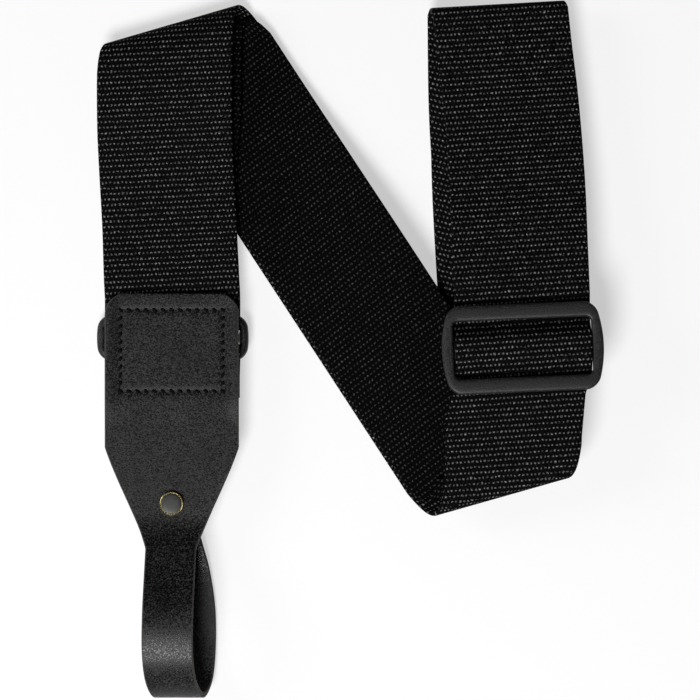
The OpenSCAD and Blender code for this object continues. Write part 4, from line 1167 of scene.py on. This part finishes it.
# %% Stitch tree
SLANT_MOST, SLANT_LEAST = -0.75, -0.45
FLOAT_MIN, FLOAT_MAX, FLOAT_OUT = 2, 3, 1
stitches = bpy.data.node_groups.new("stitch_rows", "GeometryNodeTree")
stitches.interface.new_socket("Geometry", in_out="INPUT", socket_type="NodeSocketGeometry")
for label, kind in (("Stitch length", "Float"), ("Thread width", "Float"), ("Rise", "Float"), ("Seed", "Int"),
                    ("Thread", "Material")):
    stitches.interface.new_socket(label, in_out="INPUT", socket_type="NodeSocket" + kind)
stitches.interface.new_socket("Geometry", in_out="OUTPUT", socket_type="NodeSocketGeometry")
given = add_node(stitches, "NodeGroupInput").outputs
half_len, back_len, sink, thread_r = [
    add_node(stitches, MATHS, {0: given[size], 1: share}, operation="MULTIPLY").outputs[0]
    for size, share in (
        ("Stitch length", 0.5), ("Stitch length", -0.5), ("Thread width", -0.5), ("Thread width", 0.5))]
start, middle, end = [add_node(stitches, "ShaderNodeCombineXYZ", place).outputs[0] for place in (
    {"X": back_len, "Z": sink}, {"Z": given["Rise"]}, {"X": half_len, "Z": sink})]
arc = add_node(stitches, "GeometryNodeCurveQuadraticBezier",
               {"Resolution": 6, "Start": start, "Middle": middle, "End": end}).outputs[0]
wire = add_node(stitches, "GeometryNodeCurvePrimitiveCircle", {"Resolution": 8, "Radius": thread_r}).outputs[0]
stitch = add_node(stitches, "GeometryNodeCurveToMesh", {"Curve": arc, "Profile Curve": wire, "Fill Caps": True})
row_turn = add_node(stitches, "GeometryNodeInputNamedAttribute", {"Name": "turn"}, data_type="FLOAT").outputs[0]
slant = add_node(stitches, "FunctionNodeRandomValue",
                 {FLOAT_MIN: SLANT_MOST, FLOAT_MAX: SLANT_LEAST, "Seed": given["Seed"]}, data_type="FLOAT")
full_turn = add_node(stitches, MATHS, {0: row_turn, 1: slant.outputs[FLOAT_OUT]}, operation="ADD").outputs[0]
rotation = add_node(stitches, "ShaderNodeCombineXYZ", {"Z": full_turn}).outputs[0]
sewn = add_node(stitches, "GeometryNodeInstanceOnPoints",
                {"Points": given["Geometry"], "Instance": stitch.outputs[0], "Rotation": rotation}).outputs[0]
real = add_node(stitches, "GeometryNodeRealizeInstances", {"Geometry": sewn}).outputs[0]
threaded = add_node(stitches, "GeometryNodeSetMaterial", {"Geometry": real, "Material": given["Thread"]})
add_node(stitches, "NodeGroupOutput", {"Geometry": threaded.outputs[0]})
print("stitch tree has", len(stitches.nodes), "nodes")

# %% Stitched boxes
STITCH_PITCH, STITCH_LEN, THREAD_W, STITCH_SEED = 3.2, 1.7, 1.25, 7


def box_stitches(wide, long):
    """Places and turns of the stitches round a box. The cross rows have the corner stitches."""
    out = []
    for length, offset, turn, skip in ((wide, long / 2, 0.0, 0), (long, wide / 2, math.pi / 2, 1)):
        steps = round(length / STITCH_PITCH)
        for s in (-1, 1):
            for i in range(skip, steps + 1 - skip):
                along = (i / steps - 0.5) * length
                out.append((along, s * offset, turn) if turn == 0 else (s * offset, along, turn))
    return np.array(out)


def stitch_piece(name, long, centre, turn, z, rise, body, node):
    """A box of stitches of this length, round a centre, at a height and with this rise of the thread."""
    box = box_stitches(BOX_W, long)
    plan = turned_by(box[:, :2], turn) + centre
    mesh = bpy.data.meshes.new(name + "_points")
    mesh.from_pydata([(x * MM, y * MM, z * MM) for x, y in plan], [], [])
    turns = mesh.attributes.new("turn", "FLOAT", "POINT")
    turns.data.foreach_set("value", (box[:, 2] + turn).astype(np.float32))
    guide = bpy.data.objects.new(name + "_points", mesh)
    bpy.context.scene.collection.objects.link(guide)
    rows = guide.modifiers.new("stitch_rows", "NODES")
    rows.node_group = stitches
    values = {"Stitch length": STITCH_LEN * MM, "Thread width": THREAD_W * MM, "Rise": rise * MM,
              "Seed": STITCH_SEED, "Thread": bonded_thread}
    for item in stitches.interface.items_tree:
        if item.in_out == "INPUT" and item.name in values:
            rows[item.identifier] = values[item.name]
    sewn_mesh = bpy.data.meshes.new_from_object(guide.evaluated_get(bpy.context.evaluated_depsgraph_get()))
    bpy.data.objects.remove(guide)
    sewn_mesh.name = name
    sewn_mesh.shade_smooth()
    piece = bpy.data.objects.new(name, sewn_mesh)
    bpy.context.scene.collection.objects.link(piece)
    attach(piece, body)
    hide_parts(node)
    print(name, "has", len(box), "stitches")


print("stitch pitch", STITCH_PITCH, "mm")

# %% Sewn rows
PANEL_SINK, PANEL_RISE, WEB_SINK, WEB_RISE = 0.15, 0.6, 0.1, 0.4
END_BOX_MARGIN, SEWN_MARGIN = 14.0, 7.0
end_turn = math.atan2(END_WAY[0], -END_WAY[1])
end_mid = END_TOP + END_WAY * (END_OVERLAP / 2 + 1)
sewn_mid = on_slider(-(SLIDER_END + SEWN_LEN / 2 + 1))
stitch_piece("panel_stitches", BOX_LEN, (RING_X, BOX_Y), 0.0, PANEL_FACE - PANEL_SINK, PANEL_RISE,
             "headstock_tab", "headstock_stitching")
stitch_piece("button_end_stitches", END_OVERLAP - END_BOX_MARGIN, end_mid, end_turn, END_T + WEB_T - WEB_SINK,
             WEB_RISE, "webbing", "button_end_stitching")
stitch_piece("sewn_end_stitches", SEWN_LEN - SEWN_MARGIN, sewn_mid, SLIDER_ANGLE,
             SLIDER_Z + RUN_2_LOW + HALF_T - WEB_SINK, WEB_RISE, "slider", "return_end_stitching")
